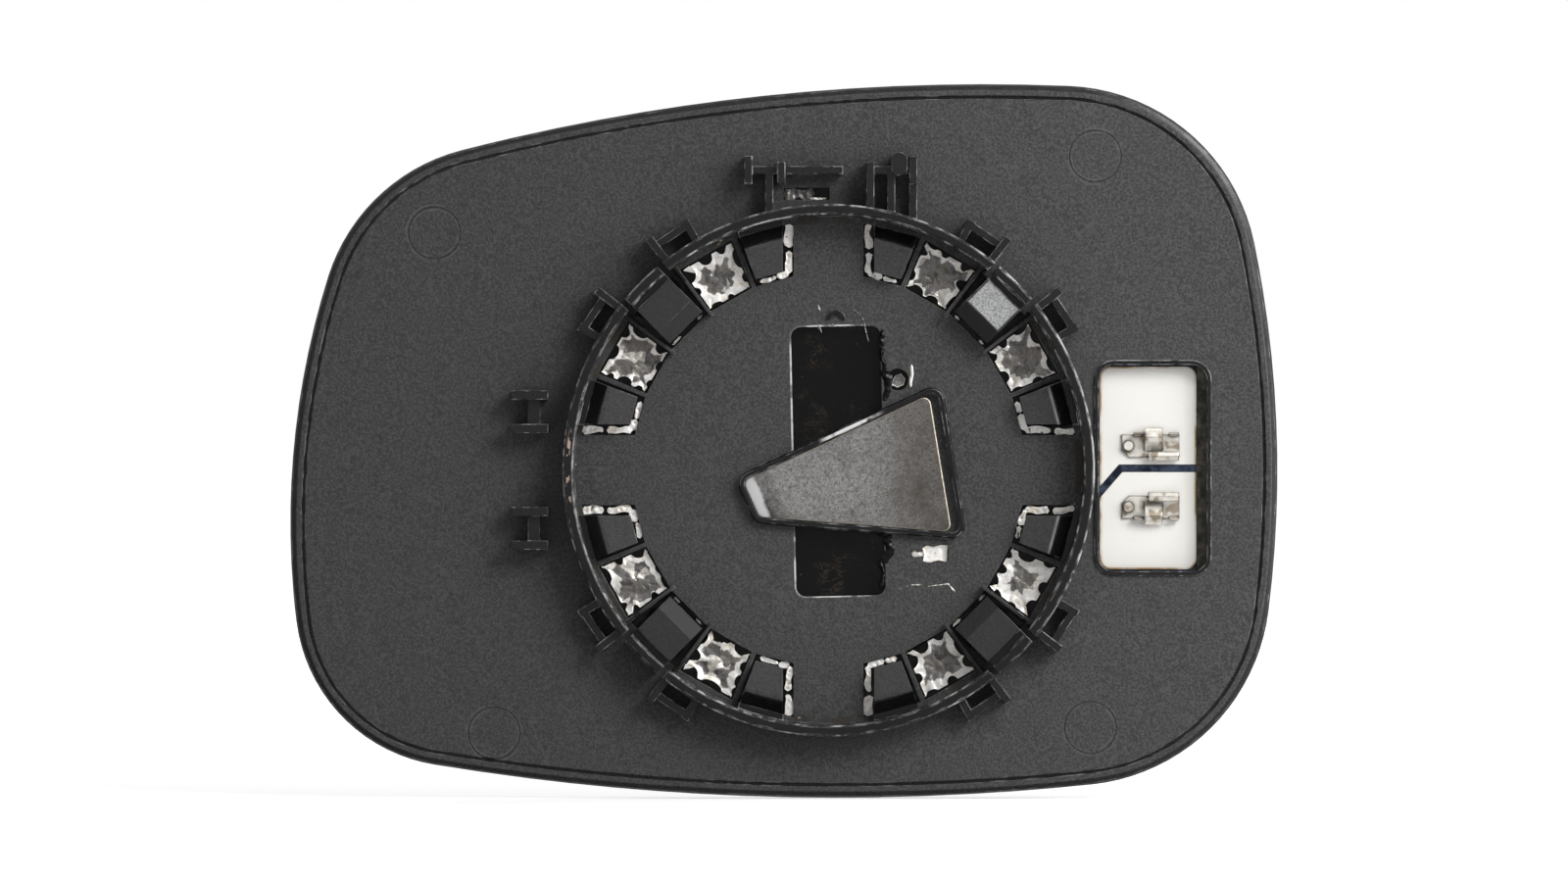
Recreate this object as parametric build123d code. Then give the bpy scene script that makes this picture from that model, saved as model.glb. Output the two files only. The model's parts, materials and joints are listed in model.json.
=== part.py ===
from build123d import *
import math
import os

os.makedirs("parts", exist_ok=True)

# Carrier plate as seen from behind: overall size, and the share of it left of and below the clip ring's axis
PLATE_WIDTH = 180.0
PLATE_HEIGHT = 130.2
AXIS_LEFT_SHARE = 0.545
AXIS_BOTTOM_SHARE = 0.4593

# Sharp corners of the outline, moved in from the overall size, and their rounding
LOWER_LEFT_IN = 5.55
LOWER_LEFT_UP = 10.0
LOWER_LEFT_ROUND = 30.2
LOWER_RIGHT_IN = 7.2
LOWER_RIGHT_UP = 6.0
LOWER_RIGHT_ROUND = 36.3
UPPER_RIGHT_IN = 11.65
UPPER_RIGHT_DOWN = 2.35
UPPER_RIGHT_ROUND = 36.0
UPPER_LEFT_IN = 13.95
UPPER_LEFT_DOWN = 16.95
UPPER_LEFT_ROUND = 34.5

# Outward bow of each side between its sharp corners
BOTTOM_BOW = 7.9
RIGHT_BOW = 9.3
TOP_BOW = 8.0
LEFT_BOW = 9.3

# Layers along the ring's axis, and the convex curve of the glass
RING_HEIGHT = 8.0
PLATE_THICKNESS = 2.4
ADHESIVE_THICKNESS = 0.6
FILM_THICKNESS = 0.3
GLASS_THICKNESS = 2.0
LIP_PROUD = 0.4
GLASS_CURVE_RADIUS = 1400.0

# Rim round the glass, rounded at its outer edges by two bevels, and the groove behind it
RIM_WIDTH = 2.1
RIM_BACK_ROUND = 1.3
RIM_FRONT_ROUND = 0.9
GROOVE_WIDTH = 0.6
GROOVE_DEPTH = 0.8
GLASS_CLEARANCE = 0.15
GLASS_EDGE_BEVEL = 0.4
SHEET_EDGE_GAP = 2.5
SHEET_SLOT_MARGIN = 0.4

# Clip ring
RING_OUTER_RADIUS = 48.4
RING_WALL = 2.0
RING_EDGE_BEVEL = 0.4

# Windows inside the ring: radial sizes, and angles from the nearest upright or level axis
WINDOW_FROM_RING = 3.2
WINDOW_LENGTH = 9.4
TONGUE_WINDOW_OFFSET = 6.4
TONGUE_WINDOW_END = 21.6
CLAW_WINDOW_START = 22.8
CLAW_WINDOW_END = 36.6
LATCH_WINDOW_START = 37.6

# Fixed tongues, measured from the ends of their windows and down from the ring's mouth
TONGUE_OFFSET = 8.3
TONGUE_END = 20.9
TONGUE_TIP_GAP = 1.2
TONGUE_RIDGE_IN = 2.4
TONGUE_FOOT_IN = 1.9
TONGUE_RIDGE_WIDTH = 0.6
TONGUE_RIDGE_DEPTH = 4.0
TONGUE_TIP_DEPTH = 4.7
TONGUE_HEEL_DEPTH = 5.6
TONGUE_UNDERSIDE_DEPTH = 6.0

# Sprung latches in the ring wall
LATCH_WIDTH = 8.3
LATCH_SLIT = 1.1
LATCH_TIP_GAP = 0.9
LATCH_NOSE_LENGTH = 2.8
LATCH_TOP_DEPTH = 1.3
LATCH_TIP_DEPTH = 3.6
LATCH_UNDERSIDE_DEPTH = 4.4
LATCH_GROOVE_WIDTH = 1.2
LATCH_GROOVE_DEPTH = 2.6

# Thin partitions between the latch windows and the windows beside them
PARTITION_WALL = 0.6
PARTITION_DEPTH = 4.8

# Buttress lugs outside the ring
LUG_WALL = 1.4
LUG_TALL_DEPTH = 1.6
LUG_LOW_DEPTH = 3.0
LUG_INNER_ANGLE = 7.2
LUG_OUTER_ANGLE = 15.0
LUG_TALL_REACH = 5.0
LUG_LOW_REACH = 4.0
LUG_WEB_REACH = 3.1
SIDE_LUG_CLEARANCE = 2.6
SIDE_LUG_LENGTH = 6.6
SIDE_LUG_SPACING = 6.1
SIDE_LUG_FROM_LEVEL = 10.6
SIDE_LUG_WEB_IN = 2.6
SIDE_LUG_WALL = 1.6
SIDE_LUG_WEB = 2.2

# Upper lugs: heights above the ring's axis and sideways places of their walls
TOP_WEB_HEIGHT = 54.6
TOP_POST_LENGTH = 5.0
LEFT_POST_X = -14.6
LEFT_WEB_END_X = 2.6
LEFT_RIB_X = -8.6
LEFT_LEG_X = -10.8
RIGHT_POST_X = 7.6
RIGHT_END_X = 15.4
RIGHT_LEG_X = 11.4
RIGHT_TAB_X = 12.9
RIGHT_TAB_RADIUS = 1.5
RIGHT_TAB_LENGTH = 1.2
RIGHT_TAB_RISE = 1.1

# Slot under the upper left lug
TOP_SLOT_WIDTH = 8.4
TOP_SLOT_HEIGHT = 2.2
TOP_SLOT_X = -4.0
TOP_SLOT_FROM_RING = 0.9

# Rectangular window in the middle of the ring
MIDDLE_WINDOW_WIDTH = 16.3
MIDDLE_WINDOW_HEIGHT = 49.2
MIDDLE_WINDOW_X = 1.8
MIDDLE_WINDOW_Z = 1.6
MIDDLE_WINDOW_ROUND = 1.8
MIDDLE_WINDOW_TILT = 1.2

# Arched mark above the rectangular window
ARCH_X = 1.4
ARCH_WIDTH = 3.4
ARCH_WALL = 0.7
ARCH_RISE = 0.5
ARCH_GAP = 1.2

# Round hole and key-shaped slot beside the rectangular window
SIDE_HOLE_RADIUS = 2.0
SIDE_HOLE_X = 12.6
SIDE_HOLE_Z = 16.5
KEY_SLOT_WIDTH = 4.7
KEY_SLOT_HEIGHT = 3.3
KEY_SLOT_X = 19.5
KEY_SLOT_Z = -15.2
KEY_STUB_LENGTH = 2.2
KEY_STUB_HEIGHT = 1.4

# Steel insert and the raised frame that holds it: corners of the insert, seen from behind
INSERT_TIP_UPPER = (-15.6, -2.0)
INSERT_TIP_LOWER = (-12.6, -8.6)
INSERT_LOWER_RIGHT = (22.5, -11.3)
INSERT_UPPER_RIGHT = (18.4, 13.8)
INSERT_ROUND = 1.3
INSERT_THICKNESS = 1.0
INSERT_TIP_BEVEL = 2.6
INSERT_TIP_DROP = 0.6
INSERT_CLEARANCE = 0.15
FRAME_RIGHT_GAP = 1.5
FRAME_WALL = 1.1
FRAME_RISE = 1.7
FRAME_EDGE_BEVEL = 0.3

# Terminal window beside the ring, with its low bead
TERMINAL_WINDOW_FROM_RING = 0.9
TERMINAL_WINDOW_WIDTH = 19.7
TERMINAL_WINDOW_HEIGHT = 37.7
TERMINAL_WINDOW_Z = 0.35
TERMINAL_WINDOW_ROUND = 2.8
BEAD_WIDTH = 0.8
BEAD_RISE = 0.35

# White pads on the heater film, and the slanting gap between them
PAD_FROM_WINDOW = 0.3
PAD_FIELD_WIDTH = 17.6
PAD_FIELD_HEIGHT = 37.0
PAD_ROUND = 2.0
PAD_THICKNESS = 0.5
PAD_GAP = 1.4
PAD_CLEARANCE = 0.15
SPLIT_Z = 0.3
SPLIT_BEND = 3.8
SPLIT_DROP = 4.4

# Tinned terminals: base sheet, tapered at its riveted end
TERMINAL_LENGTH = 10.5
TERMINAL_DEPTH = 4.2
TERMINAL_TAPER = 1.3
TERMINAL_SHEET = 0.4
TERMINAL_FROM_LEFT = 4.0
UPPER_TERMINAL_Z = 4.4
LOWER_TERMINAL_Z = -6.8

# Folds of a terminal: sideways place and width, then points of the sheet's middle line as rise and distance
# from the base's middle, away from the gap between the pads
SPRING_PLACE = (0.5, 3.3)
SPRING_LINE = [(-0.2, -0.9), (1.4, 0.8), (1.7, 1.6), (1.2, 2.5), (0.3, 3.1)]
ROLL_PLACE = (2.3, 5.6)
ROLL_LINE = [(-0.2, -1.8), (0.5, -2.4), (1.2, -2.5), (1.7, -1.9), (1.5, -1.1)]
LEFT_TAB_PLACE = (-2.3, 1.7)
RIGHT_TAB_PLACE = (4.2, 1.8)
TAB_LINE = [(-0.2, 1.8), (0.5, 2.3), (1.1, 2.2)]

# Rivets, with square shanks that keep the terminals from turning
RIVET_HEAD_RADIUS = 0.95
RIVET_HEAD_HEIGHT = 0.6
RIVET_SHANK_WIDTH = 0.9
RIVET_CLEARANCE = 0.05
RIVET_FROM_END = 1.2

# Turn from one quarter of the ring to the next, and how far a cut runs past what it cuts
QUARTER_TURN = 90
CUT_MARGIN = 1.0

# Depths on the ring's axis, counted from the ring's mouth towards the glass
plate_back = RING_HEIGHT
plate_front = plate_back + PLATE_THICKNESS
plate_middle = (plate_back + plate_front) / 2
film_back = plate_front + ADHESIVE_THICKNESS
glass_back = film_back + FILM_THICKNESS
glass_front = glass_back + GLASS_THICKNESS
lip_front = glass_front + LIP_PROUD
pad_back = film_back - PAD_THICKNESS
terminal_back = pad_back - TERMINAL_SHEET

# Edges of the overall size, and the furthest reach from the ring's axis
left = -AXIS_LEFT_SHARE * PLATE_WIDTH
right = left + PLATE_WIDTH
bottom = -AXIS_BOTTOM_SHARE * PLATE_HEIGHT
top = bottom + PLATE_HEIGHT
reach = math.hypot(max(-left, right), max(-bottom, top))
curve_centre = glass_front - GLASS_CURVE_RADIUS

# Radii inside the ring
ring_inner_radius = RING_OUTER_RADIUS - RING_WALL
ring_wall_radius = RING_OUTER_RADIUS - RING_WALL / 2
window_outer_radius = RING_OUTER_RADIUS - WINDOW_FROM_RING
window_inner_radius = window_outer_radius - WINDOW_LENGTH
tongue_tip_radius = window_inner_radius + TONGUE_TIP_GAP
tongue_ridge_radius = window_outer_radius - TONGUE_RIDGE_IN
tongue_foot_radius = window_outer_radius - TONGUE_FOOT_IN
latch_tip_radius = window_inner_radius + LATCH_TIP_GAP
latch_crest_radius = latch_tip_radius + LATCH_NOSE_LENGTH
latch_heel_radius = ring_inner_radius - LATCH_GROOVE_WIDTH
latch_angles = [QUARTER_TURN * (quarter + 0.5) for quarter in range(4)]
tongue_start_angle = math.degrees(math.asin(TONGUE_WINDOW_OFFSET / window_outer_radius))
tongue_middle_angle = (tongue_start_angle + TONGUE_WINDOW_END) / 2


def level(depth):
    """Sketch plane at a depth below the ring's mouth, seen from behind with Z upwards."""
    return Plane(origin=(0, depth, 0), x_dir=(1, 0, 0), z_dir=(0, -1, 0))


def prism(sketch, near, far):
    """Straight prism of a sketch between two depths."""
    return extrude(level(far) * sketch, amount=far - near, dir=(0, -1, 0))


def curve_depth(depth, distance):
    """Depth, at a distance from the axis, of the curved surface that crosses the axis at a depth."""
    return curve_centre + math.sqrt((depth - curve_centre) ** 2 - distance ** 2)


def ball(depth):
    """Everything behind the curved surface that crosses the axis at a depth."""
    return Pos(0, curve_centre, 0) * Sphere(depth - curve_centre)


def laminate(sketch, back, front):
    """Piece of sheet of a given outline that follows the curve of the glass."""
    near = curve_depth(back, reach) - CUT_MARGIN
    return (prism(sketch, near, front + CUT_MARGIN) & ball(front)) - ball(back)


def pin(place, radius, back, front):
    """Round flat-ended pin, square to the curve of the glass, that fits between two curved surfaces."""
    centre = Vector(0, curve_centre, 0)
    outward = (Vector(place[0], curve_depth(back, math.hypot(*place)), place[1]) - centre).normalized()
    near = curve_depth(back, radius)
    far = curve_depth(front, radius)
    foot = Plane(origin=centre + outward * (near - curve_centre), z_dir=outward)
    return extrude(foot * Circle(radius), amount=far - near)


def turn(shape, angle):
    """Turn a solid round the ring's axis, counted from +X towards +Z."""
    return Rot(0, -angle, 0) * shape


def polar(radius, angle):
    """Flat point at a radius and an angle from the level axis."""
    return (radius * math.cos(math.radians(angle)), radius * math.sin(math.radians(angle)))


def side_circle(start, end, bow):
    """Centre and radius of a side that bows outwards between two corners taken anticlockwise."""
    chord = Vector(end) - Vector(start)
    radius = (chord.length ** 2 / 4 + bow ** 2) / (2 * bow)
    inward = Vector(-chord.Y, chord.X).normalized()
    return Vector(start) + chord / 2 + inward * (radius - bow), radius


def crossing(centre, radius, other_centre, other_radius, corner):
    """Point near a corner where two circles cross."""
    gap = other_centre - centre
    along = (radius ** 2 - other_radius ** 2 + gap.length ** 2) / (2 * gap.length)
    across = math.sqrt(radius ** 2 - along ** 2)
    foot = centre + gap.normalized() * along
    aside = Vector(-gap.Y, gap.X).normalized() * across
    return min(foot + aside, foot - aside, key=lambda point: (point - Vector(corner)).length)


def outline(inset):
    """Outline of the plate, moved in by inset."""
    corners = [
        (left + LOWER_LEFT_IN, bottom + LOWER_LEFT_UP),
        (right - LOWER_RIGHT_IN, bottom + LOWER_RIGHT_UP),
        (right - UPPER_RIGHT_IN, top - UPPER_RIGHT_DOWN),
        (left + UPPER_LEFT_IN, top - UPPER_LEFT_DOWN),
    ]
    bows = (BOTTOM_BOW, RIGHT_BOW, TOP_BOW, LEFT_BOW)
    rounds = (LOWER_LEFT_ROUND, LOWER_RIGHT_ROUND, UPPER_RIGHT_ROUND, UPPER_LEFT_ROUND)
    circles = []
    for start, end, bow in zip(corners, corners[1:] + corners[:1], bows):
        centre, radius = side_circle(start, end, bow)
        circles.append((centre, radius - inset))
    points = []
    for number, corner in enumerate(corners):
        points.append(crossing(*circles[number - 1], *circles[number], corner))
    sides = []
    for start, end, (centre, radius) in zip(points, points[1:] + points[:1], circles):
        outward = ((start + end) / 2 - centre).normalized()
        sides.append(ThreePointArc(start, centre + outward * radius, end))
    face = make_face(sides)
    for point, radius in zip(points, rounds):
        face = fillet(face.vertices().sort_by_distance(point)[0], radius - inset)
    return face


def facing(radius, middle, angle):
    """Flat point at an angle, on the straight line that touches a radius at a middle angle."""
    return polar(radius / math.cos(math.radians(angle - middle)), angle)


def sector(inner, outer, start, end, middle):
    """Straight-sided piece of a ring between two angles, whose ends touch two radii at a middle angle."""
    corners = [
        facing(outer, middle, start),
        facing(outer, middle, end),
        facing(inner, middle, end),
        facing(inner, middle, start),
    ]
    return make_face(Polyline(*corners, close=True))


def beyond(start, end, extra):
    """Point further along a straight edge, past its end."""
    edge = Vector(end) - Vector(start)
    return Vector(end) + edge.normalized() * extra


def rounded_offset(polygon, growth, corner_radius):
    """Straight-sided shape moved outwards, with its corners rounded to match."""
    grown_polygon = offset(polygon, growth, kind=Kind.INTERSECTION)
    return fillet(grown_polygon.vertices(), corner_radius + growth)


def above(offset_from_axis):
    """Flat field above a level line."""
    size = 2 * RING_OUTER_RADIUS
    return Pos(0, offset_from_axis + size / 2) * Rectangle(2 * size, size)


def all_quarters(sketch):
    """A sketch and its mirror image, repeated in the four quarters of the ring."""
    copies = []
    for quarter in range(4):
        copies.append(Rot(0, 0, QUARTER_TURN * quarter) * sketch)
        copies.append(Rot(0, 0, QUARTER_TURN * quarter) * mirror(sketch, about=Plane.XZ))
    return copies


def wall(start, end, thickness, depth):
    """Straight wall on the plate between two flat points, up to a depth."""
    across = end[0] - start[0]
    along = end[1] - start[1]
    middle = ((start[0] + end[0]) / 2, (start[1] + end[1]) / 2)
    flat = Rectangle(math.hypot(across, along), thickness)
    placed = Pos(*middle) * Rot(0, 0, math.degrees(math.atan2(along, across))) * flat
    return prism(placed, depth, plate_front)


def curved_faces(solid):
    """Curved faces of a sheet, from the back to the front."""
    return solid.faces().filter_by(GeomType.SPHERE).sort_by(lambda face: face.center().Y)


def rounded_edge(solid, number, radius):
    """Round the outer edge of one of the curved faces, with two bevels."""
    half_turn = math.radians(QUARTER_TURN / 4)
    steep = radius * math.tan(half_turn)
    face = curved_faces(solid)[number]
    solid = chamfer(face.outer_wire().edges(), steep, radius, reference=face)
    face = curved_faces(solid)[number]
    slope = radius * (1 - math.cos(2 * half_turn)) / math.cos(half_turn)
    return chamfer(face.outer_wire().edges(), radius - steep, slope, reference=face)


# Shared flat shapes
pocket_outline = outline(RIM_WIDTH)
sheet_outline = outline(RIM_WIDTH + SHEET_EDGE_GAP)

def window(start, end, middle):
    """Window inside the ring between two angles."""
    return sector(window_inner_radius, window_outer_radius, start, end, middle)


tongue_window = window(0, TONGUE_WINDOW_END, tongue_middle_angle) & above(TONGUE_WINDOW_OFFSET)
claw_window = window(CLAW_WINDOW_START, CLAW_WINDOW_END, (CLAW_WINDOW_START + CLAW_WINDOW_END) / 2)
latch_window = window(LATCH_WINDOW_START, QUARTER_TURN - LATCH_WINDOW_START, QUARTER_TURN / 2)
tongue_windows = all_quarters(tongue_window)
claw_windows = all_quarters(claw_window)
latch_windows = [Rot(0, 0, QUARTER_TURN * quarter) * latch_window for quarter in range(4)]

middle_window = Pos(MIDDLE_WINDOW_X, MIDDLE_WINDOW_Z) * Rot(0, 0, MIDDLE_WINDOW_TILT) * RectangleRounded(
    MIDDLE_WINDOW_WIDTH, MIDDLE_WINDOW_HEIGHT, MIDDLE_WINDOW_ROUND
)
key_slot = Pos(KEY_SLOT_X, KEY_SLOT_Z) * Rectangle(KEY_SLOT_WIDTH, KEY_SLOT_HEIGHT)
key_stub_x = KEY_SLOT_X - (KEY_SLOT_WIDTH + KEY_STUB_LENGTH) / 2
key_slot += Pos(key_stub_x, KEY_SLOT_Z) * Rectangle(KEY_STUB_LENGTH, KEY_STUB_HEIGHT)
top_slot_z = RING_OUTER_RADIUS + TOP_SLOT_FROM_RING + TOP_SLOT_HEIGHT / 2
top_slot = Pos(TOP_SLOT_X, top_slot_z) * Rectangle(TOP_SLOT_WIDTH, TOP_SLOT_HEIGHT)

window_left = RING_OUTER_RADIUS + TERMINAL_WINDOW_FROM_RING
window_x = window_left + TERMINAL_WINDOW_WIDTH / 2
terminal_window = Pos(window_x, TERMINAL_WINDOW_Z) * RectangleRounded(
    TERMINAL_WINDOW_WIDTH, TERMINAL_WINDOW_HEIGHT, TERMINAL_WINDOW_ROUND
)

insert_corners = [INSERT_TIP_UPPER, INSERT_TIP_LOWER, INSERT_LOWER_RIGHT, INSERT_UPPER_RIGHT]
insert_flat = make_face(Polyline(*insert_corners, close=True))
insert_flat = fillet(insert_flat.vertices(), INSERT_ROUND)
frame_corners = [
    INSERT_TIP_UPPER,
    INSERT_TIP_LOWER,
    beyond(INSERT_TIP_LOWER, INSERT_LOWER_RIGHT, FRAME_RIGHT_GAP),
    beyond(INSERT_TIP_UPPER, INSERT_UPPER_RIGHT, FRAME_RIGHT_GAP),
]
frame_flat = make_face(Polyline(*frame_corners, close=True))
frame_inner = rounded_offset(frame_flat, INSERT_CLEARANCE, INSERT_ROUND)
frame_outer = rounded_offset(frame_flat, INSERT_CLEARANCE + FRAME_WALL, INSERT_ROUND)

pad_left = window_left + PAD_FROM_WINDOW
pad_right = pad_left + PAD_FIELD_WIDTH
split_points = [
    (pad_left - PAD_GAP, SPLIT_Z - SPLIT_DROP * (SPLIT_BEND + PAD_GAP) / SPLIT_BEND),
    (pad_left + SPLIT_BEND, SPLIT_Z),
    (pad_right + PAD_GAP, SPLIT_Z),
]


def pad_flats(growth):
    """Lower and upper pad, grown by a clearance on every side."""
    field = Pos((pad_left + pad_right) / 2, TERMINAL_WINDOW_Z) * Rectangle(
        PAD_FIELD_WIDTH + 2 * growth, PAD_FIELD_HEIGHT + 2 * growth
    )
    split = trace(Polyline(*split_points), PAD_GAP - 2 * growth)
    faces = (field - split).faces().sort_by(Axis.Y)
    return make_face(faces[0].outer_wire().edges()), make_face(faces[-1].outer_wire().edges())


pad_lower_flat, pad_upper_flat = pad_flats(0)
pad_lower_flat = fillet(pad_lower_flat.vertices().group_by(Axis.Y)[0], PAD_ROUND)
pad_upper_flat = fillet(pad_upper_flat.vertices().group_by(Axis.Y)[-1], PAD_ROUND)

# Plate with its rim, glass pocket and groove
plate = laminate(outline(0), plate_back, lip_front)
plate -= laminate(pocket_outline, plate_front, lip_front + 2 * LIP_PROUD)
plate = rounded_edge(plate, 0, RIM_BACK_ROUND)
plate = rounded_edge(plate, -1, RIM_FRONT_ROUND)
groove = pocket_outline - outline(RIM_WIDTH + GROOVE_WIDTH)
plate -= laminate(groove, plate_back - GROOVE_DEPTH, plate_back + GROOVE_DEPTH)

# Windows and slots cut in the plate
cut_flats = [*tongue_windows, *claw_windows, *latch_windows]
cut_flats += [middle_window, key_slot, top_slot, terminal_window]
for flat in cut_flats:
    plate -= prism(flat, 0, glass_front)
plate -= pin((SIDE_HOLE_X, SIDE_HOLE_Z), SIDE_HOLE_RADIUS, plate_back - CUT_MARGIN, plate_front + CUT_MARGIN)

# Clip ring with slits beside the latches
ring_flat = Circle(RING_OUTER_RADIUS) - Circle(ring_inner_radius)
ring = prism(ring_flat, 0, plate_front)
ring = chamfer(ring.faces().sort_by(Axis.Y)[0].edges(), RING_EDGE_BEVEL)
slit_offset = (LATCH_WIDTH + LATCH_SLIT) / 2
slit_flat = Pos(RING_OUTER_RADIUS, slit_offset) * Rectangle(4 * RING_WALL, LATCH_SLIT)
for angle in latch_angles:
    for flat in (slit_flat, mirror(slit_flat, about=Plane.XZ)):
        ring -= turn(prism(flat, -CUT_MARGIN, plate_front + CUT_MARGIN), angle)

# Latch noses on the sprung parts of the ring wall
latch_points = [
    (ring_wall_radius, LATCH_GROOVE_DEPTH),
    (latch_heel_radius, LATCH_GROOVE_DEPTH),
    (latch_heel_radius, LATCH_TOP_DEPTH),
    (latch_crest_radius, LATCH_TOP_DEPTH),
    (latch_tip_radius, LATCH_TIP_DEPTH),
    (latch_tip_radius, LATCH_UNDERSIDE_DEPTH),
    (ring_wall_radius, LATCH_UNDERSIDE_DEPTH),
]
latch = extrude(make_face(Polyline(*latch_points, close=True)), amount=LATCH_WIDTH / 2, both=True)

# Fixed tongue over its window
tongue_points = [
    (ring_wall_radius, TONGUE_HEEL_DEPTH),
    (window_outer_radius, TONGUE_HEEL_DEPTH),
    (tongue_ridge_radius, TONGUE_RIDGE_DEPTH),
    (tongue_ridge_radius - TONGUE_RIDGE_WIDTH, TONGUE_RIDGE_DEPTH),
    (tongue_tip_radius, TONGUE_TIP_DEPTH),
    (tongue_tip_radius, TONGUE_UNDERSIDE_DEPTH),
    (tongue_foot_radius, TONGUE_UNDERSIDE_DEPTH),
    (tongue_foot_radius, plate_front),
    (ring_wall_radius, plate_front),
]
tongue_bar = extrude(make_face(Polyline(*tongue_points, close=True)), amount=WINDOW_LENGTH, both=True)
tongue_flat = sector(window_inner_radius, ring_wall_radius, 0, TONGUE_END, tongue_middle_angle)
tongue = turn(tongue_bar, tongue_middle_angle) & prism(tongue_flat & above(TONGUE_OFFSET), 0, plate_front)
tongue_pair = [tongue, mirror(tongue, about=Plane.XY)]

# Partitions beside the latches, and buttress lugs outside the ring
lug_walls = []
partition_angle = (QUARTER_TURN - CLAW_WINDOW_END - LATCH_WINDOW_START) / 2
for angle in latch_angles:
    for side in (-1, 1):
        edge = angle + side * partition_angle
        partition_start = polar(window_inner_radius - PARTITION_WALL, edge)
        lug_walls.append(wall(partition_start, polar(ring_wall_radius, edge), PARTITION_WALL, PARTITION_DEPTH))
        near = angle + side * LUG_INNER_ANGLE
        far = angle + side * LUG_OUTER_ANGLE
        tall_end = RING_OUTER_RADIUS + LUG_TALL_REACH
        low_end = RING_OUTER_RADIUS + LUG_LOW_REACH
        web_radius = RING_OUTER_RADIUS + LUG_WEB_REACH
        lug_walls.append(wall(polar(ring_wall_radius, near), polar(tall_end, near), LUG_WALL, LUG_TALL_DEPTH))
        lug_walls.append(wall(polar(ring_wall_radius, far), polar(low_end, far), LUG_WALL, LUG_LOW_DEPTH))
        lug_walls.append(wall(polar(web_radius, near), polar(web_radius, far), LUG_WALL, LUG_LOW_DEPTH))

# Pair of free-standing lugs at the left of the ring
side_start = -(RING_OUTER_RADIUS + SIDE_LUG_CLEARANCE)
side_end = side_start - SIDE_LUG_LENGTH
side_web = side_start - SIDE_LUG_WEB_IN
for sign in (-1, 1):
    inner_z = sign * (SIDE_LUG_FROM_LEVEL - SIDE_LUG_SPACING / 2)
    outer_z = sign * (SIDE_LUG_FROM_LEVEL + SIDE_LUG_SPACING / 2)
    for z in (inner_z, outer_z):
        lug_walls.append(wall((side_start, z), (side_end, z), SIDE_LUG_WALL, LUG_TALL_DEPTH))
    lug_walls.append(wall((side_web, inner_z), (side_web, outer_z), SIDE_LUG_WEB, LUG_LOW_DEPTH))

# Lugs above the ring
post_low = TOP_WEB_HEIGHT - TOP_POST_LENGTH / 2
post_high = TOP_WEB_HEIGHT + TOP_POST_LENGTH / 2
ring_at_left_leg = math.sqrt(ring_wall_radius ** 2 - LEFT_LEG_X ** 2)
ring_at_right_post = math.sqrt(ring_wall_radius ** 2 - RIGHT_POST_X ** 2)
ring_at_right_leg = math.sqrt(ring_wall_radius ** 2 - RIGHT_LEG_X ** 2)
ring_at_right_end = math.sqrt(ring_wall_radius ** 2 - RIGHT_END_X ** 2)
top_walls = [
    ((LEFT_POST_X, post_low), (LEFT_POST_X, post_high), LUG_TALL_DEPTH),
    ((LEFT_POST_X, TOP_WEB_HEIGHT), (LEFT_WEB_END_X, TOP_WEB_HEIGHT), LUG_LOW_DEPTH),
    ((LEFT_RIB_X, post_low), (LEFT_RIB_X, TOP_WEB_HEIGHT + LUG_WALL), LUG_TALL_DEPTH),
    ((LEFT_LEG_X, ring_at_left_leg), (LEFT_LEG_X, TOP_WEB_HEIGHT), LUG_LOW_DEPTH),
    ((RIGHT_POST_X, ring_at_right_post), (RIGHT_POST_X, TOP_WEB_HEIGHT + LUG_WALL), LUG_TALL_DEPTH),
    ((RIGHT_POST_X, TOP_WEB_HEIGHT), (RIGHT_END_X, TOP_WEB_HEIGHT), LUG_LOW_DEPTH),
    ((RIGHT_LEG_X, ring_at_right_leg), (RIGHT_LEG_X, TOP_WEB_HEIGHT), LUG_LOW_DEPTH),
    ((RIGHT_END_X, post_low), (RIGHT_END_X, post_high), LUG_TALL_DEPTH),
    ((RIGHT_END_X, ring_at_right_end), (RIGHT_END_X, post_low), LUG_LOW_DEPTH + LUG_WALL),
]
for start, end, depth in top_walls:
    lug_walls.append(wall(start, end, LUG_WALL, depth))
tab_place = Pos(RIGHT_TAB_X, TOP_WEB_HEIGHT + RIGHT_TAB_RISE)
tab_flat = tab_place * SlotCenterToCenter(RIGHT_TAB_LENGTH, 2 * RIGHT_TAB_RADIUS, 90)
round_tab = prism(tab_flat, LUG_TALL_DEPTH, plate_front)

# Raised frame round the insert, arched mark and bead round the terminal window
frame_depth = plate_back - FRAME_RISE
frame = prism(frame_outer - frame_inner, frame_depth, plate_front)
frame = chamfer(frame.faces().sort_by(Axis.Y)[0].outer_wire().edges(), FRAME_EDGE_BEVEL)
arch_place = (ARCH_X, MIDDLE_WINDOW_Z + MIDDLE_WINDOW_HEIGHT / 2 + ARCH_GAP)
arch_back = plate_back - ARCH_RISE
arch = pin(arch_place, ARCH_WIDTH / 2, arch_back, plate_front)
arch -= pin(arch_place, ARCH_WIDTH / 2 - ARCH_WALL, arch_back - CUT_MARGIN, plate_front + CUT_MARGIN)
arch = arch & prism(above(arch_place[1]), 0, glass_front)
bead_flat = Pos(window_x, TERMINAL_WINDOW_Z) * RectangleRounded(
    TERMINAL_WINDOW_WIDTH + 2 * BEAD_WIDTH,
    TERMINAL_WINDOW_HEIGHT + 2 * BEAD_WIDTH,
    TERMINAL_WINDOW_ROUND + BEAD_WIDTH,
)
bead_flat -= terminal_window
bead = laminate(bead_flat, plate_back - BEAD_RISE, plate_front)

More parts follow.
